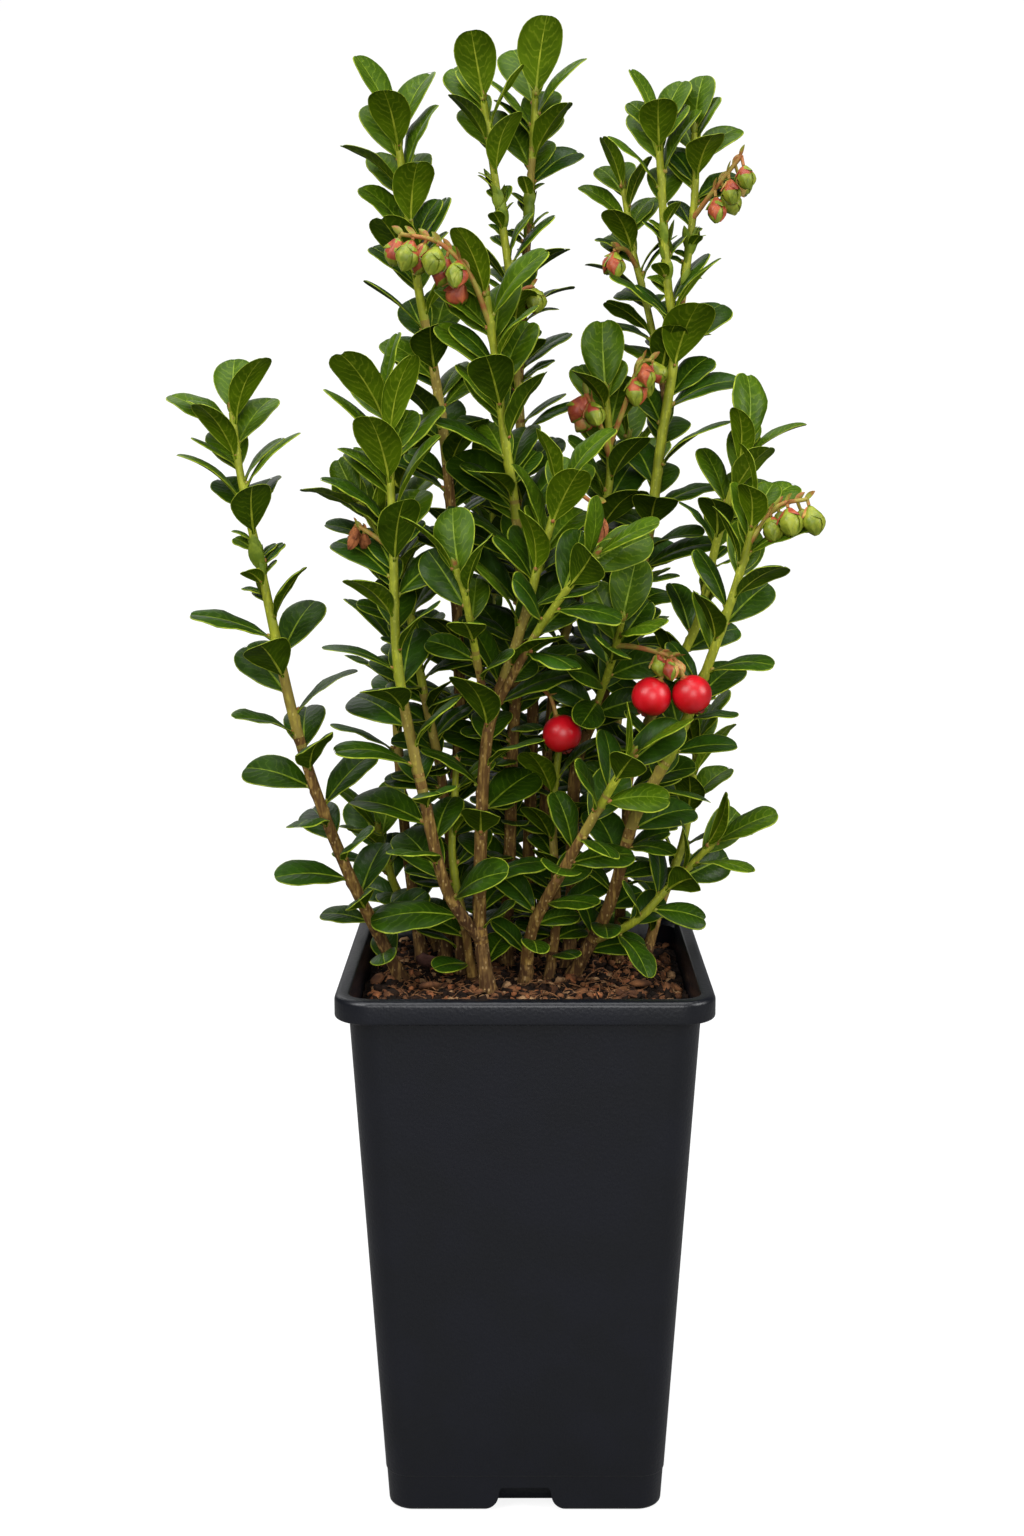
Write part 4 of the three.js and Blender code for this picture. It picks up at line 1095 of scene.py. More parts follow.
class LeafBlades:
    """Builds fine leaves: blade, rim, midrib and petiole, with an upper and an under face.

    Lengths are in millimetres, STATIONS and other places along are shares of the way from root to tip,
    and columns are shares of the half width. A pair named _SPAN is the least and most of a choice.
    """

    STATIONS = np.array((0.0, 0.05, 0.1, 0.15, 0.21, 0.29, 0.38, 0.48, 0.58, 0.68, 0.77, 0.85, 0.91, 0.955,
                         0.98, 0.995))
    COLUMNS = 11
    BLADE_COLUMNS = (0.3, 0.62)
    VEIN_HALF = (0.34, 0.06)
    VEIN_MOST = 0.22
    VEIN_EDGE = 1.3
    RIM_BAND = 0.2
    RIM_MOST = 0.2
    PETIOLE_HALF = (0.62, 0.3, 0.0, 0.0)
    PETIOLE_STATIONS = (0.0, 0.14, 0.3, 1.0)
    LEAST_HALF = 0.02
    THICKNESS = (0.75, 0.24, 0.192)
    THICKNESS_STATIONS = (0.0, 0.2, 1.0)
    RIM_THINNING = 0.35
    OPENING = 0.08
    OPENING_LENGTH = 0.25
    RIPPLES = 15.0
    RIPPLE_SLANT = 1.2
    GROOVE = 0.12
    GROOVE_WIDTH = 0.45
    KEEL = 0.22
    KEEL_WIDTH = 0.35
    KEEL_FADE = 0.7
    AGE_SWING = 0.2
    YOUNG_SHARE = 0.74
    DEEP_SHARE = 0.35
    FOLD_SPAN = (0.05, 0.34)
    ROLL_SPAN = (0.08, 0.3)
    CURL_SPAN = (0.1, 0.42)
    CURL_START = 0.45
    TWIST_SPAN = (-0.22, 0.22)
    SWAY_SPAN = (-0.035, 0.035)
    NOTCH_SPAN = (-0.03, 0.035)
    NOTCH_WIDTH = math.sqrt(0.03)
    NOTCH_START = 0.85
    WAVE_SPAN = (0.0, 0.07)
    PATTERNS = 50

    def __init__(self, seed: int) -> None:
        """Starts the source of chance choices."""
        self.chance = np.random.default_rng(seed)

    def habit(self, leaf: Leaf) -> LeafHabit:
        """Chooses how a leaf's blade differs from a plain one.

        Args:
            leaf: The leaf.

        Returns:
            The choice.
        """
        pick = self.chance.uniform
        age = LeafSlot.UPPER_MATURE
        if leaf.spot.share + pick(-self.AGE_SWING, self.AGE_SWING) > self.YOUNG_SHARE:
            age = LeafSlot.UPPER_YOUNG
        elif pick(0, 1) < self.DEEP_SHARE:
            age = LeafSlot.UPPER_DEEP
        return LeafHabit(
            age=age, fold=pick(*self.FOLD_SPAN), roll=pick(*self.ROLL_SPAN), curl=pick(*self.CURL_SPAN),
            twist=pick(*self.TWIST_SPAN), sway=pick(*self.SWAY_SPAN), notch=max(0.0, pick(*self.NOTCH_SPAN)),
            wave=pick(*self.WAVE_SPAN), phase=pick(0, FULL_TURN),
        )

    def columns(self, half: Vec) -> Vec:
        """Spreads the columns of points across the stations.

        Args:
            half: The half width at each station.

        Returns:
            One row per station, from the left rim to the right.
        """
        s = self.STATIONS
        vein = np.minimum(np.interp(s, (0, 1), self.VEIN_HALF) / half, self.VEIN_MOST)
        rim = 1 - np.minimum(self.RIM_BAND / half, self.RIM_MOST)
        inner, outer = self.BLADE_COLUMNS
        beside = np.maximum(vein * self.VEIN_EDGE, inner + 0 * s)
        right = np.stack((vein, beside, outer + 0 * s, rim, 1 + 0 * s), axis=1)
        return np.concatenate((-right[:, ::-1], np.zeros((len(s), 1)), right), axis=1)

    def add(self, draft: Draft, leaf: Leaf, shift: Vec) -> None:
        """Adds one leaf to a piece.

        Args:
            draft: The piece.
            leaf: The leaf's place and plain shape.
            shift: How far the smooth twig lies from the rule's own line at the leaf's root.
        """
        habit = self.habit(leaf)
        s = self.STATIONS
        petiole = np.interp(s, self.PETIOLE_STATIONS, self.PETIOLE_HALF)
        half = np.sqrt((leaf.half * blade_width(s)) ** 2 + petiole**2) + self.LEAST_HALF
        columns = self.columns(half)
        side = np.abs(columns)
        half, s = half[:, None], s[:, None]
        width = columns * half
        opened = smoothstep((s - self.OPENING) / self.OPENING_LENGTH)
        ripple = habit.wave * np.sin(habit.phase + s * self.RIPPLES + columns * self.RIPPLE_SLANT) * side**2
        lift = half * opened * (habit.fold * side - habit.roll * side**4 + ripple)
        groove = self.GROOVE * hump(width, self.GROOVE_WIDTH) * opened
        upper = self.surface(leaf, habit, width, lift - groove) + shift
        thickness = np.interp(s, self.THICKNESS_STATIONS, self.THICKNESS) * (1 - self.RIM_THINNING * side**3)
        keel = self.KEEL * hump(width, self.KEEL_WIDTH) * (1 - s) ** self.KEEL_FADE
        under = self.surface(leaf, habit, width, lift - thickness - keel) + shift
        pattern = np.stack((columns * 0.5 + 0.5, np.broadcast_to(s, columns.shape)), axis=2).reshape(-1, 2)
        places = pattern + np.array((0.0, 2.0 * self.chance.integers(0, self.PATTERNS)))
        faces = grid_faces(len(s), self.COLUMNS)
        under_age = LeafSlot.UNDER_YOUNG.value + habit.age.value
        draft.add(upper, faces[:, ::-1], self.slots(habit.age.value, LeafSlot.UPPER_VEIN), places)
        draft.add(under, faces, self.slots(under_age, LeafSlot.UNDER_VEIN), places)
        rings = [(face[:, 0], face[::-1, -1]) for face in
                 (upper.reshape(-1, self.COLUMNS, 3), under.reshape(-1, self.COLUMNS, 3))]
        edge = np.concatenate((*rings[0], *rings[1]))
        draft.add(edge, grid_faces(2, len(edge) // 2)[:, ::-1], LeafSlot.RIM.value)

    def slots(self, blade: int, vein: LeafSlot) -> Vec:
        """Returns the finish of each face of one side: rim, blade and midrib."""
        band = np.tile(np.arange(self.COLUMNS - 1), len(self.STATIONS) - 1)
        rim = (band == 0) | (band == self.COLUMNS - 2)
        middle = (band == self.COLUMNS // 2 - 1) | (band == self.COLUMNS // 2)
        return np.where(rim, LeafSlot.RIM.value, np.where(middle, vein.value, blade))

    def surface(self, leaf: Leaf, habit: LeafHabit, width: Vec, lift: Vec) -> Vec:
        """Places one side of a blade.

        Args:
            leaf: The leaf's place and plain shape.
            habit: How its blade differs from a plain one.
            width: How far to the side each point of the grid lies.
            lift: How far up from the plain blade each point lies.

        Returns:
            One point per row.
        """
        s = self.STATIONS[:, None]
        turn = habit.twist * s
        across = width * np.cos(turn) - lift * np.sin(turn) + habit.sway * leaf.length * s * s
        up = width * np.sin(turn) + lift * np.cos(turn)
        up = up - habit.curl * leaf.length * np.maximum(s - self.CURL_START, 0) ** 2
        notch = habit.notch * hump(width / leaf.half, self.NOTCH_WIDTH)
        along = s - notch * smoothstep((s - self.NOTCH_START) / (1 - self.NOTCH_START))
        return leaf.places(along.ravel(), across.ravel(), up.ravel())


class WoodSlot(Enum):
    """The finishes of a twig or stem, from old brown bark to green young growth."""

    BROWN = 0
    TAN = 1
    OLIVE = 2
    GREEN = 3
    SCAR = 4


@dataclass(frozen=True)
class Scar:
    """A leaf scar or leaf base on a stem: how far along, at what turn and how high."""

    distance: float
    turn: float
    height: float


class StemSkin:
    """Builds the bark of a stretch of stem: a tube with scars, fine ridges and a finish by age."""

    RING_STEP = 0.9
    SIDES = 14
    SLIM_ROOT = 0.84
    FULL_TIP = 1.1
    FINE_FLARE = 0.6
    ROOT_COLLAR = 0.1
    ROOT_COLLAR_LENGTH = 1.0
    RIDGES = 0.014
    RIDGE_SIZE = 3.2
    RIDGE_WEIGHT = 1.1
    GRAIN_SIZE = 1.1
    GRAIN_WEIGHT = 0.6
    GRAIN_STRETCH = np.array((1.0, 1.0, 0.35))
    SCAR_SPACING = 5.5
    FIRST_SCAR = 0.7
    SPACING_SPAN = (0.7, 1.3)
    SCAR_SWING = 20.0
    HEIGHT_SPAN = (0.16, 0.34)
    SCAR_TURN = 0.55
    SCAR_LENGTH = 1.1
    SCAR_LEDGE = 0.3
    SCAR_SHOWS = 0.2
    AGE_SWING = 3.0
    PATTERN_LENGTH = 10.0

    def __init__(self, twig: Twig, seed: int) -> None:
        """Takes a twig and starts its noise and its chance choices."""
        self.twig = twig
        self.ridges = Noise(seed, self.RIDGE_SIZE)
        self.grain = Noise(seed + 1, self.GRAIN_SIZE)
        self.chance = np.random.default_rng(seed)

    def scars(self, end: float) -> list[Scar]:
        """Makes the scars of fallen leaves on a stem's bare foot, one golden turn after another.

        Args:
            end: Where the bare foot ends.

        Returns:
            The scars, from the root up.
        """
        made = []
        distance = self.SCAR_SPACING * self.FIRST_SCAR
        while distance < end:
            turn = len(made) * GOLDEN_TURN + self.chance.uniform(-self.SCAR_SWING, self.SCAR_SWING)
            made.append(Scar(distance, math.radians(turn), self.chance.uniform(*self.HEIGHT_SPAN)))
            distance += self.SCAR_SPACING * self.chance.uniform(*self.SPACING_SPAN)
        return made

    def bumps(self, scars: Sequence[Scar], distances: Vec) -> Vec:
        """Finds how far scars stand out of the bark.

        Args:
            scars: The scars and leaf bases.
            distances: The distance of each ring along the stem.

        Returns:
            One row per ring, one number per side.
        """
        bumps = np.zeros((len(distances), self.SIDES))
        for scar in scars:
            away = (turns_of(self.SIDES) - scar.turn + math.pi) % FULL_TURN - math.pi
            along = distances - scar.distance
            ledge = np.where(along < 0, hump(along, self.SCAR_LENGTH),
                             hump(along, self.SCAR_LENGTH * self.SCAR_LEDGE))
            bumps += scar.height * hump(away, self.SCAR_TURN)[None, :] * ledge[:, None]
        return bumps

    def add(self, draft: Draft, start: float, end: float, flare: bool, scars: Sequence[Scar],
            ages: Sequence[float]) -> None:
        """Adds a stretch of the stem to a piece.

        Args:
            draft: The piece.
            start: Where the stretch starts along the stem.
            end: Where it ends.
            flare: Whether it widens into its root at the start.
            scars: The scars and leaf bases on it.
            ages: The distances at which brown turns to tan, tan to olive and olive to green.
        """
        way = self.twig.way
        rings = max(3, round((end - start) / self.RING_STEP) + 1)
        distances = np.linspace(start, end, rings)
        middles = np.array([way.smooth(d) for d in distances])
        directions = tangents(middles)
        plain = np.array([self.twig.radius_at(d) for d in distances])
        plain = plain * np.interp(distances / way.length, (0, 1), (self.SLIM_ROOT, self.FULL_TIP))
        if flare:
            plain = plain * (1 + FLARE * self.FINE_FLARE * np.exp(-distances / FLARE_LENGTH))
        surface = tube(middles, directions, plain, self.SIDES) * self.GRAIN_STRETCH
        relief = self.ridges.at(surface) * self.RIDGE_WEIGHT + self.grain.at(surface) * self.GRAIN_WEIGHT
        bumps = self.bumps(scars, distances)
        radii = plain[:, None] * (1 + self.RIDGES * relief.reshape(bumps.shape)) + bumps
        if flare:
            radii[distances < self.ROOT_COLLAR_LENGTH] += self.ROOT_COLLAR
        surface = tube(middles, directions, radii, self.SIDES)
        middle = np.repeat((distances[:-1] + distances[1:]) / 2, self.SIDES)
        swing = np.repeat(self.chance.uniform(-self.AGE_SWING, self.AGE_SWING, rings - 1), self.SIDES)
        slots = np.searchsorted(np.asarray(ages), middle + swing)
        scarred = (bumps[:-1].ravel() > self.SCAR_SHOWS) & (slots < WoodSlot.OLIVE.value)
        slots = np.where(scarred, WoodSlot.SCAR.value, slots)
        places = np.stack((np.tile(turns_of(self.SIDES), rings) / FULL_TURN,
                           np.repeat(distances, self.SIDES) / self.PATTERN_LENGTH), axis=1)
        draft.add(surface, grid_faces(rings, self.SIDES, wrap=True), slots, places)
        top, root = surface[-self.SIDES:], surface[: self.SIDES]
        draft.fan(top, top.mean(axis=0) + directions[-1] * plain[-1], int(slots[-1]))
        draft.fan(root, root.mean(axis=0), int(slots[0]), turned=True)


class BudSlot(Enum):
    """The finishes of buds, stalks and berries."""

    GREEN = 0
    RED = 1
    CREAM = 2
    SEPAL = 3
    STALK = 4
    BERRY = 5
    CALYX = 6
    SCALE = 7
    DRY = 8
    WAIST = 9


class Blossom:
    """Builds flower buds, their stalks and bracts, berries, and the small buds at leaf roots.

    A profile gives rows of a distance along the axis and a radius. A pair named _SPAN is the least and
    most of a choice, and lengths are in millimetres unless they say that they are shares.
    """

    SIDES = 20
    SMALL_SIDES = 8
    END_SIDES = 10
    LOBES = 5
    LOBING = 0.06
    STALK_RADIUS = 0.5
    TRUSS_RADIUS = 0.72
    TRUSS_STEP = 1.2
    LEAST_RINGS = 6
    # Buds and their scales
    BUD_PROFILE = np.array((
        (-0.5, 0.02), (-0.47, 0.2), (-0.4, 0.36), (-0.28, 0.56), (-0.12, 0.84), (0.02, 1.0),
        (0.14, 0.97), (0.26, 0.8), (0.36, 0.56), (0.43, 0.34), (0.48, 0.17), (0.5, 0.04)))
    WIDTH_SHARE = 0.36
    DRY_WIDTH_SHARE = 0.24
    WIDTH_SPAN = (0.9, 1.1)
    CORE = 0.9
    SCALES = 6
    WRAPS = 3
    INNER_REACH_SPAN = (0.93, 1.0)
    OUTER_REACH_SPAN = (0.42, 0.6)
    OUTER_WIDTH = 1.09
    SCALE_COLOURS = (BudSlot.GREEN.value, BudSlot.RED.value, BudSlot.CREAM.value)
    SCALE_CHANCES = (0.7, 0.2, 0.1)
    SCALE_TURN = 1.15
    SCALE_COLUMNS = (-1.0, -0.6, -0.22, 0.0, 0.22, 0.6, 1.0)
    SCALE_ROWS = 9
    SCALE_TAPER = 1.6
    SCALE_END = 0.04
    SCALE_LIFT = 0.05
    SCALE_FLARE = 0.12
    RIB = 0.16
    RIB_WIDTH = 0.25
    BLUSH_SHARE = 0.5
    BLUSH_SPAN = (0.15, 0.6)
    FOOT_STALK = 0.85
    FOOT_STALK_SAG = 0.2
    LEAST_FOOT_STALK = 0.3
    # How buds hang from a truss
    HANG = 2.6
    HANG_SPAN = (0.1, 1.0)
    SHORT_HANG = 0.2
    HANG_GAP = 0.4
    PLUMP = 1.18
    PLUMP_SPAN = (0.85, 1.1)
    LONG_RUN = 0.35
    SHORT_RUN = 0.66
    LONG_TRUSS = 5
    SWING_SPAN = (0.15, 0.6)
    AHEAD = 0.3
    # Bracts
    BRACT_SHARE = 0.55
    BRACT_AHEAD = 0.9
    BRACT_RISE = 0.35
    BRACT_SWING = 0.6
    BRACT_BACK = 0.6
    BRACT_TWIST_SPAN = (0.7, 1.3)
    BRACT_ROWS = 7
    BRACT_COLUMNS = (-1, -0.5, 0, 0.5, 1)
    BRACT_WIDTH = 0.27
    BRACT_BEND = 0.16
    BRACT_CUP = 0.45
    BRACT_START = 0.1
    BRACT_REACH = 0.88
    BRACT_FULLNESS = 0.8
    # Berries
    BERRY_RINGS = 22
    BERRY_LOBING = 0.006
    BERRY_GIRTH = 1.01
    DIMPLE = 0.16
    DIMPLE_WIDTH = 0.34
    NECK = 0.07
    NECK_WIDTH = 0.3
    BERRY_TOP = 0.94
    BERRY_SAG = 0.06
    BERRY_STALK_SPAN = (0.9, 1.2)
    BERRY_STALK_ROWS = 8
    BERRY_CUP = np.array(((-0.45, 0.55), (-0.1, 0.95), (0.25, 1.25), (0.4, 1.15)))
    BERRY_CUP_LOBING = 0.12
    BERRY_BRACT = 3.2
    BERRY_BRACT_RISE = 2.5
    CALYX_ROWS = 5
    CALYX_WIDTH = 0.85
    CALYX_TAPER = 0.7
    CALYX_FOOT = 0.93
    CALYX_HEIGHT = 0.75
    CALYX_RADIUS = 1.25
    CALYX_FLOOR = np.array(((0.86, 1.45), (0.9, 1.0), (0.86, 0.3), (0.87, 0.02)))
    # Buds at leaf roots and twig tips, and the scales where a year's growth began
    SIDE_BUD_SPAN = (0.9, 1.6)
    SIDE_BUD_LEAN = 0.55
    SIDE_BUD_OUT = 0.25
    SIDE_BUD_UP = 0.9
    SIDE_BUD_RISE = 0.4
    SIDE_BUD_PROFILE = np.array(((-0.5, 0.05), (-0.3, 0.32), (0.0, 0.42), (0.3, 0.26), (0.5, 0.02)))
    END_BUD_UP = 0.9
    END_BUD_PROFILE = np.array((
        (-1.2, 0.8), (-0.4, 1.25), (0.5, 1.3), (1.4, 0.95), (2.2, 0.45), (2.6, 0.05)))
    END_BUD_LENGTH = 0.85
    END_BUD_WIDTH = 0.95
    END_SCALES = 3
    END_SCALE = 2.6
    END_SCALE_LEAN = 0.3
    END_SCALE_OUT = 0.9
    END_SCALE_BACK = 0.8
    WAIST_SCALES = 9
    WAIST_SCALE = 6.0
    WAIST_TURN = 25.0
    WAIST_LEAN_SPAN = (0.12, 0.5)
    WAIST_SPREAD = 0.6
    WAIST_OUT = 0.8
    WAIST_SIZE_SPAN = (0.7, 1.2)

    def __init__(self, seed: int) -> None:
        """Starts the source of chance choices."""
        self.chance = np.random.default_rng(seed)

    def stalk(self, draft: Draft, line: Sequence[Vec], radii: Vec) -> None:
        """Adds a thin stalk along a line of points."""
        middles = np.array(line)
        draft.rings(tube(middles, tangents(middles), radii, self.SMALL_SIDES), self.SMALL_SIDES,
                    BudSlot.STALK.value)

    def round_shape(self, draft: Draft, at: Vec, axis: Vec, profile: Vec, slot: BudSlot,
                    lobing: float = 0.0, sides: int = SIDES) -> None:
        """Adds a round shape on an axis.

        Args:
            draft: The piece.
            at: Where the profile's zero lies.
            axis: The axis' direction.
            profile: Rows of a distance along the axis and a radius.
            slot: Its finish.
            lobing: How far its five ribs stand out, as a share of the radius.
            sides: How many points a ring has.
        """
        draft.rings(lathe(at, axis, profile, sides, self.LOBES, lobing), sides, slot.value)

    def bud(self, draft: Draft, bud: Bud, root: Vec, dry: bool) -> None:
        """Adds a flower bud wrapped in ribbed scales, with the short stalk that carries it.

        Args:
            draft: The piece.
            bud: The bud's place and length.
            root: Where its stalk leaves the truss.
            dry: Whether it is withered.
        """
        share = self.DRY_WIDTH_SHARE if dry else self.WIDTH_SHARE
        width = bud.length * share * self.chance.uniform(*self.WIDTH_SPAN)
        profile = self.BUD_PROFILE * np.array((bud.length, width * self.CORE))
        core = BudSlot.DRY if dry else BudSlot.GREEN
        self.round_shape(draft, bud.at, bud.axis, profile, core, self.LOBING)
        for k in range(self.SCALES):
            slot = core.value if dry else int(self.chance.choice(self.SCALE_COLOURS, p=self.SCALE_CHANCES))
            inner = k < self.WRAPS
            reach = self.chance.uniform(*(self.INNER_REACH_SPAN if inner else self.OUTER_REACH_SPAN))
            turn = FULL_TURN * (k + (0.0 if inner else 0.5)) / self.WRAPS
            self.bud_scale(draft, bud, width * (1.0 if inner else self.OUTER_WIDTH), turn, reach, slot)
        foot = bud.at - bud.axis * bud.length * 0.5
        middle = (root + foot) / 2 - UP * self.FOOT_STALK_SAG
        line = [mix(mix(root, middle, t), mix(middle, foot, t), t)
                for t in np.linspace(0, 1, self.LEAST_RINGS)]
        if np.linalg.norm(foot - root) > self.LEAST_FOOT_STALK:
            self.stalk(draft, line, np.full(len(line), self.STALK_RADIUS * self.FOOT_STALK))

    def bud_scale(self, draft: Draft, bud: Bud, width: float, turn: float, reach: float, slot: int) -> None:
        """Adds one pointed scale that hugs a bud from its foot.

        Args:
            draft: The piece.
            bud: The bud.
            width: The bud's half width under the scale.
            turn: The scale's turn round the bud.
            reach: How much of the bud's length it covers.
            slot: The number of its finish.
        """
        rows = []
        for t in np.linspace(0, 1, self.SCALE_ROWS):
            along = -0.5 + reach * t
            radius = float(np.interp(along, self.BUD_PROFILE[:, 0], self.BUD_PROFILE[:, 1])) * width
            spread = self.SCALE_TURN * math.cos(QUARTER_TURN * t**self.SCALE_TAPER) + self.SCALE_END
            middle = bud.at + bud.axis * (along * bud.length)
            row = []
            for c in self.SCALE_COLUMNS:
                rib = self.RIB * (hump(c, self.RIB_WIDTH) - c * c)
                lift = self.SCALE_LIFT + rib + self.SCALE_FLARE * t
                row.append(middle + outward(bud.axis, turn + c * spread) * (radius + lift))
            rows.append(row)
        slots = np.full((self.SCALE_ROWS - 1) * (len(self.SCALE_COLUMNS) - 1), slot)
        if slot == BudSlot.GREEN.value and self.chance.random() < self.BLUSH_SHARE:
            first_blushed, last_blushed = (int(len(slots) * share) for share in self.BLUSH_SPAN)
            slots[first_blushed:last_blushed] = BudSlot.RED.value
        draft.sheet(rows, slots)

    def berry(self, draft: Draft, at: Vec, end: Vec) -> None:
        """Adds a ripe berry with its calyx at the far end.

        Args:
            draft: The piece.
            at: The berry's middle.
            end: The end of the stalk it hangs from.
        """
        away = at - end
        axis = unit(away)
        angles = np.linspace(0, math.pi, self.BERRY_RINGS)
        dents = self.DIMPLE * hump(math.pi - angles, self.DIMPLE_WIDTH)
        dents += self.NECK * hump(angles, self.NECK_WIDTH)
        profile = np.stack((-np.cos(angles) * BERRY_RADIUS * (1 - dents),
                            np.sin(angles) * BERRY_RADIUS * self.BERRY_GIRTH + 0.01), axis=1)
        self.round_shape(draft, at, axis, profile, BudSlot.BERRY, self.BERRY_LOBING)
        self.calyx(draft, at, axis)
        top = at - axis * BERRY_RADIUS * self.BERRY_TOP
        sag = np.linalg.norm(away) * self.BERRY_SAG
        shares = np.linspace(0, 1, self.BERRY_STALK_ROWS)
        line = [mix(end, top, t) + UP * sag * math.sin(math.pi * t) for t in shares]
        slim, full = self.BERRY_STALK_SPAN
        self.stalk(draft, line, self.STALK_RADIUS * np.linspace(slim, full, len(line)))
        self.round_shape(draft, top, axis, self.BERRY_CUP, BudSlot.SEPAL, self.BERRY_CUP_LOBING)

    def calyx(self, draft: Draft, at: Vec, axis: Vec) -> None:
        """Adds the dry five-pointed crown at a berry's far end."""
        for k in range(self.LOBES):
            out = outward(axis, FULL_TURN * k / self.LOBES)
            side = np.cross(axis, out)
            rows = []
            for t in np.linspace(0, 1, self.CALYX_ROWS):
                spread = self.CALYX_WIDTH * (1 - t) ** self.CALYX_TAPER + 0.02
                rise = BERRY_RADIUS * self.CALYX_FOOT + self.CALYX_HEIGHT * t
                middle = at + axis * rise + out * (self.CALYX_RADIUS - self.CALYX_HEIGHT * t * t)
                rows.append([middle + side * c * spread for c in (-1, 0, 1)])
            draft.sheet(rows, BudSlot.CALYX.value)
        floor = self.CALYX_FLOOR * np.array((BERRY_RADIUS, 1.0))
        self.round_shape(draft, at, axis, floor, BudSlot.CALYX)

    def bract(self, draft: Draft, at: Vec, along: Vec, up: Vec, length: float,
              slot: BudSlot = BudSlot.SCALE) -> None:
        """Adds a small cupped scale.

        Args:
            draft: The piece.
            at: Its root.
            along: The direction it points.
            up: The direction its hollow side looks.
            length: Its length.
            slot: Its finish.
        """
        side = np.cross(along, up)
        rows = []
        for t in np.linspace(0, 1, self.BRACT_ROWS):
            full = math.sin(math.pi * min(1, t * self.BRACT_REACH + self.BRACT_START))
            spread = length * self.BRACT_WIDTH * full**self.BRACT_FULLNESS
            middle = at + along * length * t + up * (length * self.BRACT_BEND * t * t)
            rows.append([middle + side * c * spread + up * self.BRACT_CUP * spread * c * c
                         for c in self.BRACT_COLUMNS])
        draft.sheet(rows, slot.value)

    def scales(self, draft: Draft, twig: Twig) -> None:
        """Adds the whorl of small scales where a twig's last year of growth began."""
        at = float(np.interp(twig.plan.waist, twig.way.points[:, 2], twig.way.reach))
        direction = twig.way.direction(at)
        for k in range(self.WAIST_SCALES):
            turn = k * GOLDEN_TURN + self.chance.uniform(-self.WAIST_TURN, self.WAIST_TURN)
            out = outward(direction, math.radians(turn))
            lean = self.chance.uniform(*self.WAIST_LEAN_SPAN)
            along = unit(direction * math.cos(lean) + out * math.sin(lean))
            spot = twig.way.smooth(at + self.chance.uniform(-1, 1) * WAIST_REACH * self.WAIST_SPREAD)
            up = unit(direction * math.sin(lean) - out * math.cos(lean))
            size = self.WAIST_SCALE * self.chance.uniform(*self.WAIST_SIZE_SPAN)
            root = spot + out * twig.radius_at(at) * self.WAIST_OUT
            self.bract(draft, root, along, up, size, BudSlot.WAIST)

    def truss(self, draft: Draft, truss: Truss) -> None:
        """Adds a truss: its stalk, bracts, buds and berries."""
        way, plan = truss.way, truss.plan
        places = np.linspace(0, way.length, max(self.LEAST_RINGS, int(way.length / self.TRUSS_STEP)))
        middles = [way.smooth(d) for d in places]
        self.stalk(draft, middles, np.linspace(self.TRUSS_RADIUS, self.STALK_RADIUS, len(places)))
        full = plan.buds >= self.LONG_TRUSS
        for i, bud in enumerate(truss.buds()):
            side = (-1) ** i
            distance = way.length * mix(self.LONG_RUN if full else self.SHORT_RUN, 1, (i + 1) / plan.buds)
            root = way.smooth(distance)
            direction = way.direction(distance)
            swing = unit(np.cross(direction, UP)) * (self.chance.uniform(*self.SWING_SPAN) * side)
            axis = unit(direction * self.AHEAD + swing - UP)
            size = bud.length * self.PLUMP * self.chance.uniform(*self.PLUMP_SPAN)
            drop = self.HANG * self.chance.uniform(*self.HANG_SPAN) * (1.0 if full else self.SHORT_HANG)
            middle = root + axis * (drop + size / 2 + self.HANG_GAP)
            self.bud(draft, Bud(middle, axis, size), root, plan.dry)
            lean = unit(direction * self.BRACT_AHEAD + UP * self.BRACT_RISE + swing * self.BRACT_SWING)
            across = unit(np.cross(lean, UP))
            twist = self.chance.uniform(*self.BRACT_TWIST_SPAN) * side
            up = np.cross(across, lean) * math.cos(twist) + across * math.sin(twist)
            self.bract(draft, root - direction * self.BRACT_BACK, lean, up, bud.length * self.BRACT_SHARE)
        end = way.smooth(way.length)
        for at in truss.berries():
            self.berry(draft, at, end)
            lean = unit(end - middles[0] + UP * self.BERRY_BRACT_RISE)
            up = unit(np.cross(lean, np.cross(UP, lean)))
            self.bract(draft, end, lean, up, self.BERRY_BRACT)

    def side_bud(self, draft: Draft, twig: Twig, leaf: Leaf) -> None:
        """Adds the small pointed bud that sits above a leaf's root."""
        direction = twig.way.direction(leaf.spot.distance)
        out = unit(leaf.along - direction * float(leaf.along @ direction))
        size = self.chance.uniform(*self.SIDE_BUD_SPAN)
        away = out * (twig.radius_at(leaf.spot.distance) + self.SIDE_BUD_OUT)
        at = leaf.root + twig.shift(leaf) + away + direction * (self.SIDE_BUD_UP + size * self.SIDE_BUD_RISE)
        axis = unit(direction + out * self.SIDE_BUD_LEAN)
        profile = self.SIDE_BUD_PROFILE * size
        self.round_shape(draft, at, axis, profile, BudSlot.SCALE, sides=self.SMALL_SIDES)

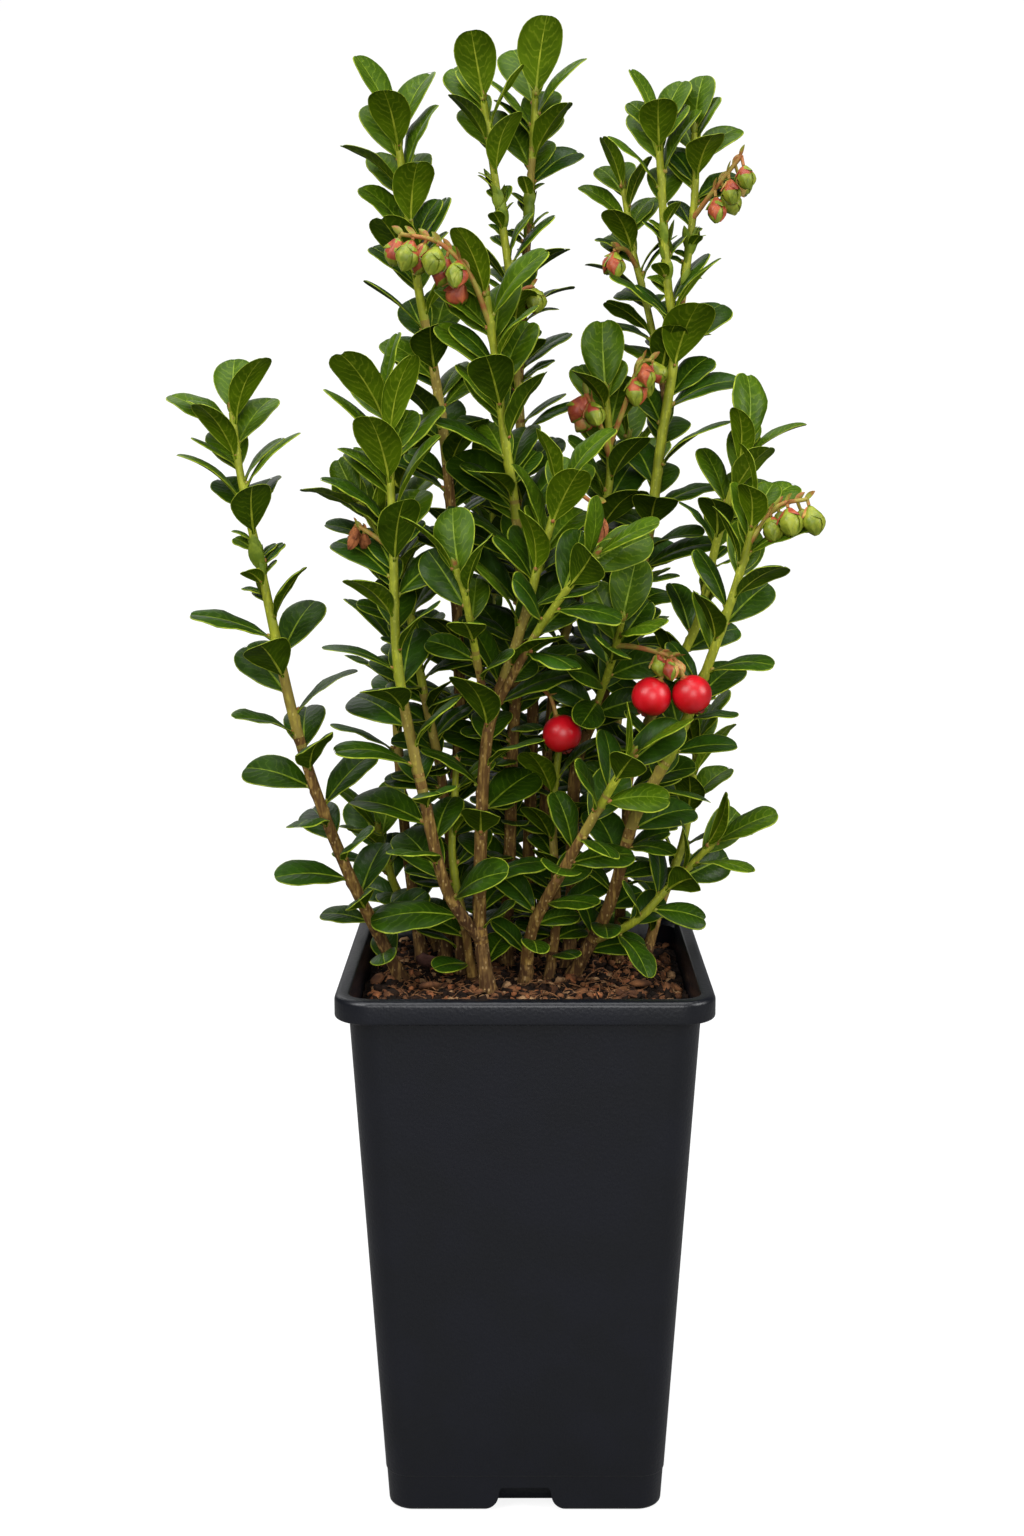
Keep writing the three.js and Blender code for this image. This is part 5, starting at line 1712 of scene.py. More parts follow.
    def end_bud(self, draft: Draft, twig: Twig) -> None:
        """Adds the pointed bud at a twig's tip, wrapped in scales."""
        way = twig.way
        direction = way.direction(way.length)
        at = way.smooth(way.length) + direction * self.END_BUD_UP
        radius = twig.plan.radius[1]
        profile = self.END_BUD_PROFILE * np.array((self.END_BUD_LENGTH, radius * self.END_BUD_WIDTH))
        self.round_shape(draft, at, direction, profile, BudSlot.GREEN, sides=self.END_SIDES)
        for k in range(self.END_SCALES):
            out = outward(direction, math.radians(k * GOLDEN_TURN))
            along = unit(direction + out * self.END_SCALE_LEAN)
            up = unit(direction * self.END_SCALE_LEAN - out)
            root = at + out * radius * self.END_SCALE_OUT - direction * self.END_SCALE_BACK
            self.bract(draft, root, along, up, self.END_SCALE)


def rounded_square(width: float, corner: float, height: float) -> Vec:
    """Places the points of a level square ring with round corners.

    Args:
        width: The square's full width.
        corner: The radius of its corners.
        height: The ring's height.

    Returns:
        One point per row.
    """
    reach = width / 2 - corner
    turns = np.arange(CORNER_STEPS + 1) / CORNER_STEPS * QUARTER_TURN
    quarter = np.stack((reach + corner * np.cos(turns), reach + corner * np.sin(turns)), axis=1)
    flat = np.concatenate([quarter @ spin(k * QUARTER_TURN)[:2, :2] for k in range(4)])
    return np.column_stack((flat, np.full(len(flat), height)))


def spin(turn: float) -> Vec:
    """Returns the table that turns rows of points round the upright axis."""
    c, s = math.cos(turn), math.sin(turn)
    return np.array(((c, s, 0), (-s, c, 0), (0, 0, 1)))


def arc(steps: int, turn: float) -> list[tuple[float, float]]:
    """Returns the cosine and sine of even turns from zero up to a turn."""
    return [(math.cos(i / steps * turn), math.sin(i / steps * turn)) for i in range(steps + 1)]


def body_width(height: float) -> float:
    """Returns the pot body's outer width at a height."""
    return mix(FOOT_WIDTH, BODY_TOP_WIDTH, height / (POT_HEIGHT - SKIRT_HEIGHT))


def body_corner(height: float) -> float:
    """Returns the radius of the pot body's corners at a height."""
    return mix(FOOT_CORNER, BODY_CORNER, height / (POT_HEIGHT - SKIRT_HEIGHT))


@dataclass
class Pot:
    """The square pot: one wall with a folded rim, a seam, notches under its sides and drain holes."""

    finish: Material
    node: str = "pot"
    foot_rounding: float = 1.2
    seam_height: float = 9.4
    seam_step: float = 0.2
    rim_edge: float = 1.3
    lip_edge: float = 0.5
    notch_top_width: float = 12.4
    notch_foot_width: float = 20.6
    notch_depth: float = 6.2
    notch_flare: float = 5.0
    notch_crown: float = 0.6
    notch_below: float = 3.0
    drain_radius: float = 3.5
    drain_offset: float = 19.0
    drain_sides: int = 28
    wall_rings: int = 10
    round_steps: int = 5
    notch_steps: int = 22
    sharp_angle: float = 32.0
    pieces: list[bpy.types.Object] = field(default_factory=list)

    def profile(self) -> list[tuple[float, float, float]]:
        """Lists the wall's rings.

        Returns:
            The width, corner radius and height of each, from the outside foot to the inside floor.
        """
        skirt = POT_HEIGHT - SKIRT_HEIGHT
        seam, step = self.seam_height, self.seam_step
        quarter = arc(self.round_steps, QUARTER_TURN)

        def body(height: float, inset: float) -> tuple[float, float, float]:
            """Returns a ring of the body, inset from its outside."""
            return body_width(height) - 2 * inset, body_corner(height) - inset * 0.5, height

        def rim(inset: float, height: float) -> tuple[float, float, float]:
            """Returns a ring of the rim, inset from its outside."""
            return RIM_WIDTH - 2 * inset, RIM_CORNER - inset, height

        rings = [body(self.foot_rounding * (1 - c), step + self.foot_rounding * (1 - s)) for c, s in quarter]
        rings += [body(seam - 0.15, step), body(seam + 0.05, step * 0.85)]
        rings += [body(seam + step, 0.04), body(seam + step + 0.2, 0.0)]
        rings += [body(mix(seam + 1, POT_HEIGHT - 1.6, i / self.wall_rings), 0.0)
                  for i in range(1, self.wall_rings + 1)]
        rings.append((RIM_WIDTH - 2 * WALL - 0.9, RIM_CORNER - WALL, POT_HEIGHT - 1.3))
        rings += [rim(WALL, POT_HEIGHT - 1.9), rim(WALL, skirt + 0.5)]
        rings += [rim(WALL / 2 * (1 + c), skirt + WALL / 2 * (1 - s))
                  for c, s in arc(self.round_steps * 2, math.pi)]
        rings += [rim(self.rim_edge * (1 - c), POT_HEIGHT - self.rim_edge * (1 - s)) for c, s in quarter]
        rings += [rim(LIP_WIDTH - self.lip_edge * (1 - s), POT_HEIGHT - self.lip_edge * (1 - c))
                  for c, s in quarter]
        for height in (POT_HEIGHT - 2, SOIL_TOP, POT_HEIGHT / 2, FLOOR + 1.5, FLOOR):
            inset = WALL + (1.0 if height == FLOOR else 0.0)
            rings.append((body_width(height) - 2 * inset, body_corner(height) - WALL, height))
        return rings

    def shell(self) -> bpy.types.Object:
        """Returns the uncut wall and floor as one closed shape."""
        draft = Draft()
        rings = [rounded_square(*ring) for ring in self.profile()]
        draft.rings(np.concatenate(rings), len(rings[0]), 0)
        draft.fan(rings[0], (0.0, 0.0, 0.0), 0, turned=True)
        draft.fan(rings[-1], (0.0, 0.0, FLOOR), 0)
        return draft.piece("pot_wall", [self.finish])

    def notch(self, side: int, grow: float) -> bpy.types.Object:
        """Makes the wedge that is cut under one side, or the pocket's wall round it.

        Args:
            side: The side's number.
            grow: How much larger than the wedge the shape is on all sides, or 0 for the wedge.

        Returns:
            The shape.
        """
        foot = self.notch_foot_width / 2 + grow
        top = self.notch_top_width / 2 + grow
        shares = np.linspace(0, 1, self.notch_steps)
        flare = (foot - top) * (0.8 * (1 - shares) ** self.notch_flare + 0.2 * (1 - shares))
        crown = self.notch_crown * np.maximum((shares - 0.84) / 0.16, 0) ** 2
        edge = zip(top + flare - crown, (NOTCH_HEIGHT + grow) * shares)
        right = [(foot, -self.notch_below), *edge]
        outline = np.array([*right, *((-x, z) for x, z in reversed(right))])
        outer = -FOOT_WIDTH / 2 - self.notch_below
        inner = -FOOT_WIDTH / 2 + self.notch_depth + grow
        if grow:
            outer = -FOOT_WIDTH / 2 + 1.0
            outline[:, 1] = np.maximum(outline[:, 1], 0.4)
        count = len(outline)
        rows = [np.column_stack((outline[:, 0], np.full(count, y), outline[:, 1])) for y in (outer, inner)]
        points = np.concatenate(rows) @ spin(side * QUARTER_TURN)
        draft = Draft()
        draft.rings(points, count, 0)
        steps = np.arange(count // 2 - 1)
        strip = np.stack((steps, steps + 1, count - 2 - steps, count - 1 - steps), axis=1)
        draft.add(points, np.concatenate((strip[:, ::-1], strip + count)), 0)
        return draft.piece(f"pot_notch_{side}", [self.finish])

    def drain(self, x: float, y: float) -> bpy.types.Object:
        """Returns the round plug that is cut out of the floor at a place."""
        turns = turns_of(self.drain_sides)
        ring = np.column_stack((x + self.drain_radius * np.cos(turns),
                                y + self.drain_radius * np.sin(turns)))
        low, high = (np.column_stack((ring, np.full(len(ring), z))) for z in (-1.0, FLOOR + 1.0))
        draft = Draft()
        draft.rings(np.concatenate((low, high)), len(ring), 0)
        draft.fan(low, (x, y, -1.0), 0, turned=True)
        draft.fan(high, (x, y, FLOOR + 1.0), 0)
        return draft.piece("pot_drain", [self.finish])

    def build(self) -> None:
        """Makes the pot and cuts its notches and drain holes."""
        wall = self.shell()
        weld(wall)
        offsets = (-self.drain_offset, self.drain_offset)
        tools = [(self.notch(side, WALL), "UNION") for side in range(4)]
        tools += [(self.notch(side, 0), "DIFFERENCE") for side in range(4)]
        tools += [(self.drain(x, y), "DIFFERENCE") for x in offsets for y in offsets]
        for tool, operation in tools:
            weld(tool)
            cut = wall.modifiers.new("cut", "BOOLEAN")
            cut.operation = operation
            cut.object = tool
            cut.solver = "EXACT"
        settled = bpy.data.meshes.new_from_object(wall.evaluated_get(bpy.context.evaluated_depsgraph_get()))
        wall.modifiers.clear()
        wall.data = settled
        settled.set_sharp_from_angle(angle=math.radians(self.sharp_angle))
        for tool, _ in tools:
            bpy.data.objects.remove(tool)
        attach(wall, BODY)
        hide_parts(self.node)
        self.pieces.append(wall)


def weld(piece: bpy.types.Object) -> None:
    """Merges points of a piece that lie on one another, so that it is one closed shape."""
    shape = bmesh.new()
    shape.from_mesh(piece.data)
    bmesh.ops.remove_doubles(shape, verts=shape.verts, dist=1e-7)
    bmesh.ops.recalc_face_normals(shape, faces=shape.faces)
    shape.to_mesh(piece.data)
    shape.free()


class SoilSlot(Enum):
    """The finishes of the potting mix: crumb, fibre and bark chips."""

    CRUMB = 0
    DARK = 1
    BROWN = 2
    RUSTY = 3
    PALE = 4
    FIBRE = 5
    PLUM = 6


@dataclass(frozen=True)
class Chip:
    """A bark chip on the mix: its middle, length, width and turn, its finish, its tilt and its thickness."""

    at: Point
    length: float
    width: float
    turn: float
    slot: SoilSlot
    tilt: float = 0.0
    height: float = 1.8


@dataclass
class PottingMix:
    """The potting mix: a crumbly plug with bits of bark and fibre on top.

    A lump's size is three half lengths. A pair named _span is the least and most of a choice.
    """

    finishes: Sequence[Material]
    seed: int = 41
    node: str = "potting_mix"
    cells: int = 150
    swell_sizes: tuple[float, ...] = (14.0, 4.2, 1.7)
    swell_heights: tuple[float, ...] = (0.5, 0.55, 0.3)
    edge_start: float = 0.82
    edge_fall: float = 1.6
    crumbs: int = 2700
    crumb_spread: float = 0.95
    crumb_shape: Span = (2.2, 0.3)
    least_crumb: float = 0.2
    largest_crumb: Point = (3.2, 1.9, 1.0)
    crumb_rise: float = 0.25
    crumb_tilt: float = 0.8
    # The chances follow the tones in litter: crumb, dark peat, brown, rusty and pale. The pale share is set
    # high enough that these bits also paint bright glints on the mix.
    crumb_chances: tuple[float, ...] = (0.26, 0.26, 0.28, 0.1, 0.1)
    lump_rings: int = 5
    lump_sides: int = 6
    lump_squareness: float = 0.75
    lump_roughness: float = 0.2
    chip_tilt: float = 0.25
    fibres: int = 300
    fibre_spread: float = 0.9
    fibre_bend: float = 0.35
    fibre_length_span: Span = (3.0, 11.0)
    fibre_radius_span: Span = (0.07, 0.17)
    fibre_lift: float = 0.5
    fibre_arch: float = 1.3
    fibre_steps: int = 7
    fibre_sides: int = 4
    fibre_level: float = 0.995
    chips: tuple[Chip, ...] = (
        Chip((-25.2, 2.3, 130.6), 7.5, 7.0, 1.35, SoilSlot.PLUM, 0.75, 1.6),
        Chip((-23.4, -15.0, 128.8), 4.6, 6.0, 1.8, SoilSlot.BROWN, 0.5, 1.6),
        Chip((28.6, -11.3, 128.4), 5.5, 3.0, 0.2, SoilSlot.BROWN),
        Chip((-37.0, -6.0, 128.2), 5.5, 3.2, 1.1, SoilSlot.BROWN),
        Chip((12.0, -30.0, 128.3), 5.0, 3.0, -0.8, SoilSlot.DARK),
        Chip((-4.0, -34.0, 128.3), 5.5, 2.6, 0.3, SoilSlot.RUSTY),
        Chip((34.0, 18.0, 128.6), 6.5, 3.6, 0.9, SoilSlot.DARK),
        Chip((2.0, 12.0, 128.4), 6.0, 3.4, 2.1, SoilSlot.BROWN),
        Chip((-14.0, 34.0, 128.5), 7.0, 3.2, 0.1, SoilSlot.DARK),
        Chip((22.0, 35.0, 128.4), 6.0, 3.0, 1.4, SoilSlot.RUSTY),
    )
    pieces: list[bpy.types.Object] = field(default_factory=list)

    def __post_init__(self) -> None:
        """Starts the source of chance choices and the noise of the surface."""
        self.chance = np.random.default_rng(self.seed)
        self.swells = [Noise(self.seed + k, size) for k, size in enumerate(self.swell_sizes)]
        self.top_reach = self.reach(SOIL_TOP)

    def reach(self, height: float) -> float:
        """Returns the mix's half width at a height."""
        return body_width(height) / 2 - WALL - CLEARANCE

    def ground(self, flat: Vec) -> Vec:
        """Returns the height of the mix's surface at points given as x and y."""
        at = np.column_stack((flat, np.zeros(len(flat))))
        edge = np.max(np.abs(flat), axis=1) / self.top_reach
        fall = self.edge_fall * smoothstep((edge - self.edge_start) / (1 - self.edge_start))
        return SOIL_TOP + sum(h * swell.at(at) for h, swell in zip(self.swell_heights, self.swells)) - fall

    def top(self, draft: Draft) -> None:
        """Adds the plug's rough top and its smooth sides."""
        line = np.linspace(-self.top_reach, self.top_reach, self.cells)
        x, y = np.meshgrid(line, line)
        flat = np.column_stack((x.ravel(), y.ravel()))
        corner = body_corner(SOIL_TOP) - WALL
        inner = self.top_reach - corner
        out = np.maximum(np.abs(flat) - inner, 0)
        length = np.linalg.norm(out, axis=1)
        pull = np.where(length > corner, corner / np.maximum(length, 1e-9), 1.0)
        flat = np.sign(flat) * (np.minimum(np.abs(flat), inner) + out * pull[:, None])
        faces = grid_faces(self.cells, self.cells)
        # The plug's top takes the darkened crumb finish, which paints the shade in the gaps between the
        # crumbs lying on it.
        draft.add(np.column_stack((flat, self.ground(flat))), faces, SoilSlot.CRUMB.value)
        rings = [rounded_square(2 * self.reach(height), body_corner(height) - WALL, height)
                 for height in (SOIL_TOP - 2.5, SOIL_TOP / 2, FLOOR + NOTCH_HEIGHT + 2 * WALL)]
        crown = np.column_stack((rings[0][:, :2], self.ground(rings[0][:, :2])))
        draft.rings(np.concatenate((crown, *rings)), len(crown), SoilSlot.CRUMB.value, turned=True)
        draft.fan(rings[-1], (0.0, 0.0, rings[-1][0, 2]), SoilSlot.CRUMB.value, turned=True)

    def lump(self, draft: Draft, at: Vec, size: Vec, turn: float, slot: SoilSlot, tilt: float) -> None:
        """Adds one rough lump of bark or peat.

        Args:
            draft: The piece.
            at: The lump's middle.
            size: Its half lengths.
            turn: Its turn round the upright axis.
            slot: Its finish.
            tilt: How far it leans, in radians.
        """
        angles, turns = np.linspace(0, math.pi, self.lump_rings), turns_of(self.lump_sides)
        ball = np.stack((np.outer(np.sin(angles), np.cos(turns)), np.outer(np.sin(angles), np.sin(turns)),
                         np.outer(np.cos(angles), np.ones(self.lump_sides))), axis=2).reshape(-1, 3)
        rough = self.chance.uniform(-self.lump_roughness, self.lump_roughness, (len(ball), 1))
        ball = np.sign(ball) * np.abs(ball) ** self.lump_squareness * (1 + rough)
        ball[:self.lump_sides] = (0, 0, 1)
        ball[-self.lump_sides:] = (0, 0, -1)
        c, s = math.cos(tilt), math.sin(tilt)
        lying = ball * size @ np.array(((c, 0, -s), (0, 1, 0), (s, 0, c))) @ spin(turn)
        draft.rings(lying + at, self.lump_sides, slot.value, turned=True)

    def spot(self, spread: float) -> Vec:
        """Returns a chance place on the mix, within a share of its half width."""
        return self.chance.uniform(-1, 1, 2) * self.top_reach * spread

    def litter(self, draft: Draft) -> None:
        """Adds the small crumbs, the chosen chips and the fibres."""
        tones = (SoilSlot.CRUMB, SoilSlot.DARK, SoilSlot.BROWN, SoilSlot.RUSTY, SoilSlot.PALE)
        for _ in range(self.crumbs):
            flat = self.spot(self.crumb_spread)
            size = np.sort(self.chance.gamma(*self.crumb_shape, 3))[::-1] + self.least_crumb
            size = np.minimum(size, self.largest_crumb)
            at = np.array((*flat, float(self.ground(flat[None])[0]) + size[2] * self.crumb_rise))
            slot = self.chance.choice(tones, p=self.crumb_chances)
            turn = self.chance.uniform(0, math.pi)
            self.lump(draft, at, size, turn, slot, self.chance.uniform(-self.crumb_tilt, self.crumb_tilt))
        for chip in self.chips:
            size = np.array((chip.length, chip.width, chip.height)) / 2
            tilt = chip.tilt or self.chance.uniform(-self.chip_tilt, self.chip_tilt)
            self.lump(draft, np.array(chip.at), size, chip.turn, chip.slot, tilt)
        for _ in range(self.fibres):
            self.fibre(draft)

    def fibre(self, draft: Draft) -> None:
        """Adds one bent fibre that lies on the mix."""
        flat = [self.spot(self.fibre_spread)]
        heading = self.chance.uniform(0, FULL_TURN)
        bend = self.chance.uniform(-self.fibre_bend, self.fibre_bend)
        step = self.chance.uniform(*self.fibre_length_span) / self.fibre_steps
        for _ in range(self.fibre_steps):
            heading += bend
            flat.append(flat[-1] + np.array((math.cos(heading), math.sin(heading))) * step)
        most = self.top_reach * self.crumb_spread
        line = np.clip(np.array(flat), -most, most)
        arch = np.sin(np.linspace(0, math.pi, len(line)))
        rise = self.fibre_lift + self.chance.uniform(0, self.fibre_arch) * arch
        middles = np.column_stack((line, self.ground(line) + rise))
        directions = unit(np.gradient(middles, axis=0) + 1e-6)
        if np.abs(directions[:, 0]).max() > self.fibre_level:
            return
        radii = np.full(len(line), self.chance.uniform(*self.fibre_radius_span))
        points = tube(middles, directions, radii, self.fibre_sides)
        draft.rings(points, self.fibre_sides, SoilSlot.FIBRE.value)

    def build(self) -> None:
        """Makes the mix as one piece."""
        draft = Draft()
        self.top(draft)
        self.litter(draft)
        piece = draft.piece("potting_mix_crumb", self.finishes)
        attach(piece, BODY)
        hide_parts(self.node)
        self.pieces.append(piece)


@dataclass
class FinishSet:
    """The finishes of all the pieces, each list in the order of its slots."""

    plastic: Material
    soil: list[Material]
    leaf: list[Material]
    wood: list[Material]
    bud: list[Material]


@dataclass
class ShootPieces:
    """The fine pieces of one shoot: bark on its bare stem, its twigs, its leaves and its buds."""

    shoot: Shoot
    finishes: FinishSet
    seed: int
    tan_share: float = 0.1
    olive_stretch: float = 0.16
    short_twig: float = 60.0
    short_share: float = 0.6
    leaf_base: float = 0.4
    leaf_base_height: float = 0.34
    pieces: list[bpy.types.Object] = field(default_factory=list)

    def ages(self, twig: Twig) -> tuple[float, float, float]:
        """Returns how far along a twig its bark turns from brown to tan, olive and green."""
        reach = twig.way.length * (1.0 if twig.way.length > self.short_twig else self.short_share)
        green = self.shoot.plan.green_from
        return reach * self.tan_share, reach * (green - self.olive_stretch), reach * green

    def keep(self, draft: Draft, name: str, slot: str, finishes: list[Material], *nodes: str) -> None:
        """Turns a draft into a piece that rides with the plant.

        Args:
            draft: The draft.
            name: The piece's name.
            slot: Not used.
            finishes: Its finishes in the order of their numbers.
            *nodes: The solids it stands for, if any.
        """
        piece = draft.piece(name, finishes)
        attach(piece, BODY)
        if nodes:
            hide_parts(*nodes)
        self.pieces.append(piece)

    def build(self) -> None:
        """Makes the shoot's pieces."""
        plan, twigs, finishes = self.shoot.plan, self.shoot.twigs, self.finishes
        skin = StemSkin(twigs[0], self.seed)
        if plan.foot:
            bark = Draft()
            skin.add(bark, 0.0, plan.foot, True, skin.scars(plan.foot), self.ages(twigs[0]))
            self.keep(bark, f"{plan.name}_bark", "bark", finishes.wood, f"{plan.name}_stem")
        wood, leaves, buds, low, tips = Draft(), Draft(), Draft(), Draft(), Draft()
        blades = LeafBlades(self.seed + 1)
        blossom = Blossom(self.seed + 2)
        for k, twig in enumerate(twigs):
            skin = StemSkin(twig, self.seed + 10 + k)
            start = plan.foot + CLEARANCE if k == 0 and plan.foot else 0.0
            for leaf in twig.leaves:
                blades.add(leaves, leaf, twig.shift(leaf))
                blossom.side_bud(buds, twig, leaf)
            bases = [Scar(leaf.spot.distance - self.leaf_base, leaf.turn, self.leaf_base_height)
                     for leaf in twig.leaves]
            skin.add(wood, start, twig.way.length, False, bases, self.ages(twig))
            blossom.end_bud(buds, twig)
            if twig.plan.waist:
                blossom.scales(buds, twig)
        for truss in self.shoot.trusses:
            blossom.truss(buds, truss)
        self.keep(wood, f"{plan.name}_twigs", "bark", finishes.wood, f"{plan.name}_shoot")
        self.keep(leaves, f"{plan.name}_leaves", "foliage", finishes.leaf, f"{plan.name}_shoot")
        self.keep(buds, f"{plan.name}_buds", "foliage", finishes.bud, f"{plan.name}_shoot")
        for twig in twigs:
            for draft, added in ((low, twig.low_leaves), (tips, twig.tip_leaves)):
                for leaf in added:
                    blades.add(draft, leaf, twig.shift(leaf))
        if low.count:
            self.keep(low, f"{plan.name}_low_leaves", "foliage", finishes.leaf)
        if tips.count:
            self.keep(tips, f"{plan.name}_tip_leaves", "foliage", finishes.leaf)


def tone(red: float, green: float, blue: float) -> Colour:
    """Returns the linear colour of a display colour given from 0 to 255."""

    def linear(value: float) -> float:
        """Returns one channel of it."""
        share = value / 255
        return share / 12.92 if share <= 0.04045 else ((share + 0.055) / 1.055) ** 2.4

    return linear(red), linear(green), linear(blue)


@dataclass
class Tree:
    """A short way to lay out the nodes of one material or node group."""

    tree: bpy.types.NodeTree

    def add(self, kind: str, feeds: dict[str | int, object] | None = None,
            **settings: object) -> bpy.types.Node:
        """Adds a node.

        Args:
            kind: The node's type.
            feeds: What its inputs are fed, by name or number.
            **settings: Its settings that differ from a new node's.

        Returns:
            The node.
        """
        node = self.tree.nodes.new(kind)
        for name, value in settings.items():
            setattr(node, name, value)
        for name, value in (feeds or {}).items():
            self.feed(node.inputs[name], value)
        return node

    def feed(self, target: Socket, value: object) -> None:
        """Links a socket to another one's output, or sets its plain value."""
        if isinstance(value, Socket):
            self.tree.links.new(value, target)
        elif target.type == "RGBA":
            target.default_value = (*value, 1.0)
        else:
            target.default_value = value

    def math(self, operation: str, *values: object) -> Socket:
        """Adds a sum on numbers and returns its result."""
        return self.add("ShaderNodeMath", dict(enumerate(values)), operation=operation).outputs[0]

    def blend(self, share: object, first: object, second: object) -> Socket:
        """Adds a mix of two colours and returns its result."""
        return self.add("ShaderNodeMix", {"Factor": share, 6: first, 7: second}, data_type="RGBA").outputs[2]

    def spread(self, value: object, low: object, high: object,
               start: float = 0.0, end: float = 1.0) -> Socket:
        """Adds a soft change of range.

        Args:
            value: The number.
            low: The number that becomes start.
            high: The number that becomes end.
            start: The result at low.
            end: The result at high.

        Returns:
            The result's socket.
        """
        feeds = dict(enumerate((value, low, high, start, end)))
        return self.add("ShaderNodeMapRange", feeds, interpolation_type="SMOOTHSTEP").outputs[0]

    def noise(self, vector: object, scale: object, detail: float = 2.0) -> Socket:
        """Adds noise over a vector and returns its value."""
        feeds = {"Vector": vector, "Scale": scale, "Detail": detail}
        return self.add("ShaderNodeTexNoise", feeds).outputs[0]

    def stretched(self, height: float = 1.0) -> Socket:
        """Returns the piece's own coordinates, with heights multiplied by a number."""
        place = self.add("ShaderNodeTexCoord").outputs["Object"]
        return self.add("ShaderNodeMapping", {"Vector": place, "Scale": (1.0, 1.0, height)}).outputs[0]


class Groups:
    """The shared node groups, each built once."""

    def __init__(self) -> None:
        """Builds the groups."""
        self.mottle = self.build_mottle()
        self.veins = self.build_veins()
        self.bark = self.build_bark()
        self.pebbles = self.build_pebbles()

    @staticmethod
    def start(name: str, inputs: dict[str, object]) -> tuple[Tree, bpy.types.Node]:
        """Starts a group.

        Args:
            name: Its name.
            inputs: Its inputs' names and plain values: a number, or a colour as four numbers.

        Returns:
            Its tree and the node that gives its inputs.
        """
        sketch = Tree(bpy.data.node_groups.new(name, "ShaderNodeTree"))
        for label, value in inputs.items():
            kind = "NodeSocketColor" if isinstance(value, tuple) else "NodeSocketFloat"
            socket = sketch.tree.interface.new_socket(label, in_out="INPUT", socket_type=kind)
            socket.default_value = value
        return sketch, sketch.add("NodeGroupInput")

    @staticmethod
    def close(sketch: Tree, outputs: dict[str, Socket]) -> bpy.types.NodeTree:
        """Gives a group its named outputs and returns its tree."""
        for label, value in outputs.items():
            kind = "NodeSocketColor" if value.type == "RGBA" else "NodeSocketFloat"
            sketch.tree.interface.new_socket(label, in_out="OUTPUT", socket_type=kind)
        sketch.add("NodeGroupOutput", outputs)
        return sketch.tree

    def build_mottle(self) -> bpy.types.NodeTree:
        """Builds the group that mottles two colours into each other."""
        inputs = {"Colour": (0.5, 0.5, 0.5, 1), "Second colour": (0.3, 0.3, 0.3, 1), "Scale": 300.0}
        sketch, enter = self.start("Mottle", inputs)
        share = sketch.spread(sketch.noise(sketch.stretched(), enter.outputs["Scale"], 4.0), 0.35, 0.65)
        colour = sketch.blend(share, enter.outputs["Colour"], enter.outputs["Second colour"])
        return self.close(sketch, {"Colour": colour})

    def build_veins(self) -> bpy.types.NodeTree:
        """Builds the group that lays side veins on a leaf, slanting from the midrib to the rim."""
        sketch, enter = self.start("Leaf veins", {"Veins": 9.0, "Slant": 2.4, "Width": 0.2})
        pattern = sketch.add("ShaderNodeUVMap", uv_map="pattern").outputs[0]
        axes = sketch.add("ShaderNodeSeparateXYZ", {0: pattern}).outputs
        across = sketch.math("MULTIPLY", sketch.math("ABSOLUTE", sketch.math("SUBTRACT", axes[0], 0.5)), 2.0)
        wander = sketch.math("MULTIPLY", sketch.noise(pattern, 7.0), 1.6)
        along = sketch.math("MULTIPLY", axes[1], enter.outputs["Veins"])
        slant = sketch.math("MULTIPLY", sketch.math("POWER", across, 1.4), enter.outputs["Slant"])
        bent = sketch.math("ADD", sketch.math("SUBTRACT", along, slant), wander)
        away = sketch.math("PINGPONG", bent, 0.5)
        line = sketch.spread(away, 0.0, enter.outputs["Width"], 1.0, 0.0)
        mask = sketch.math("MULTIPLY", line, sketch.spread(across, 0.95, 0.55))
        net = sketch.math("MULTIPLY", sketch.noise(pattern, 42.0, 3.0), 0.35)
        height = sketch.math("ADD", sketch.math("ADD", away, net), sketch.math("MULTIPLY", mask, -0.3))
        return self.close(sketch, {"Height": height, "Mask": mask})

    def build_bark(self) -> bpy.types.NodeTree:
        """Builds the group that gives long cracks, flakes and pale pores."""
        sketch, enter = self.start("Bark grain", {"Scale": 900.0})
        scale = enter.outputs["Scale"]
        cracks = sketch.spread(sketch.noise(sketch.stretched(0.18), scale, 5.0), 0.42, 0.62)
        feeds = {"Vector": sketch.stretched(0.6), "Scale": sketch.math("MULTIPLY", scale, 0.8)}
        pores = sketch.spread(sketch.add("ShaderNodeTexVoronoi", feeds).outputs["Distance"], 0.28, 0.12)
        height = sketch.math("ADD", cracks, sketch.math("MULTIPLY", pores, 0.6))
        return self.close(sketch, {"Height": height, "Cracks": cracks, "Pores": pores})

    def build_pebbles(self) -> bpy.types.NodeTree:
        """Builds the group that gives a moulded pebble grain with faint upright draw marks."""
        sketch, enter = self.start("Pebble grain", {"Scale": 1500.0})
        feeds = {"Vector": sketch.stretched(), "Scale": enter.outputs["Scale"]}
        cells = sketch.add("ShaderNodeTexVoronoi", feeds, feature="SMOOTH_F1").outputs["Distance"]
        marks = sketch.math("MULTIPLY", sketch.noise(sketch.stretched(0.25), 2400.0, 3.0), 0.7)
        return self.close(sketch, {"Height": sketch.math("ADD", cells, marks)})


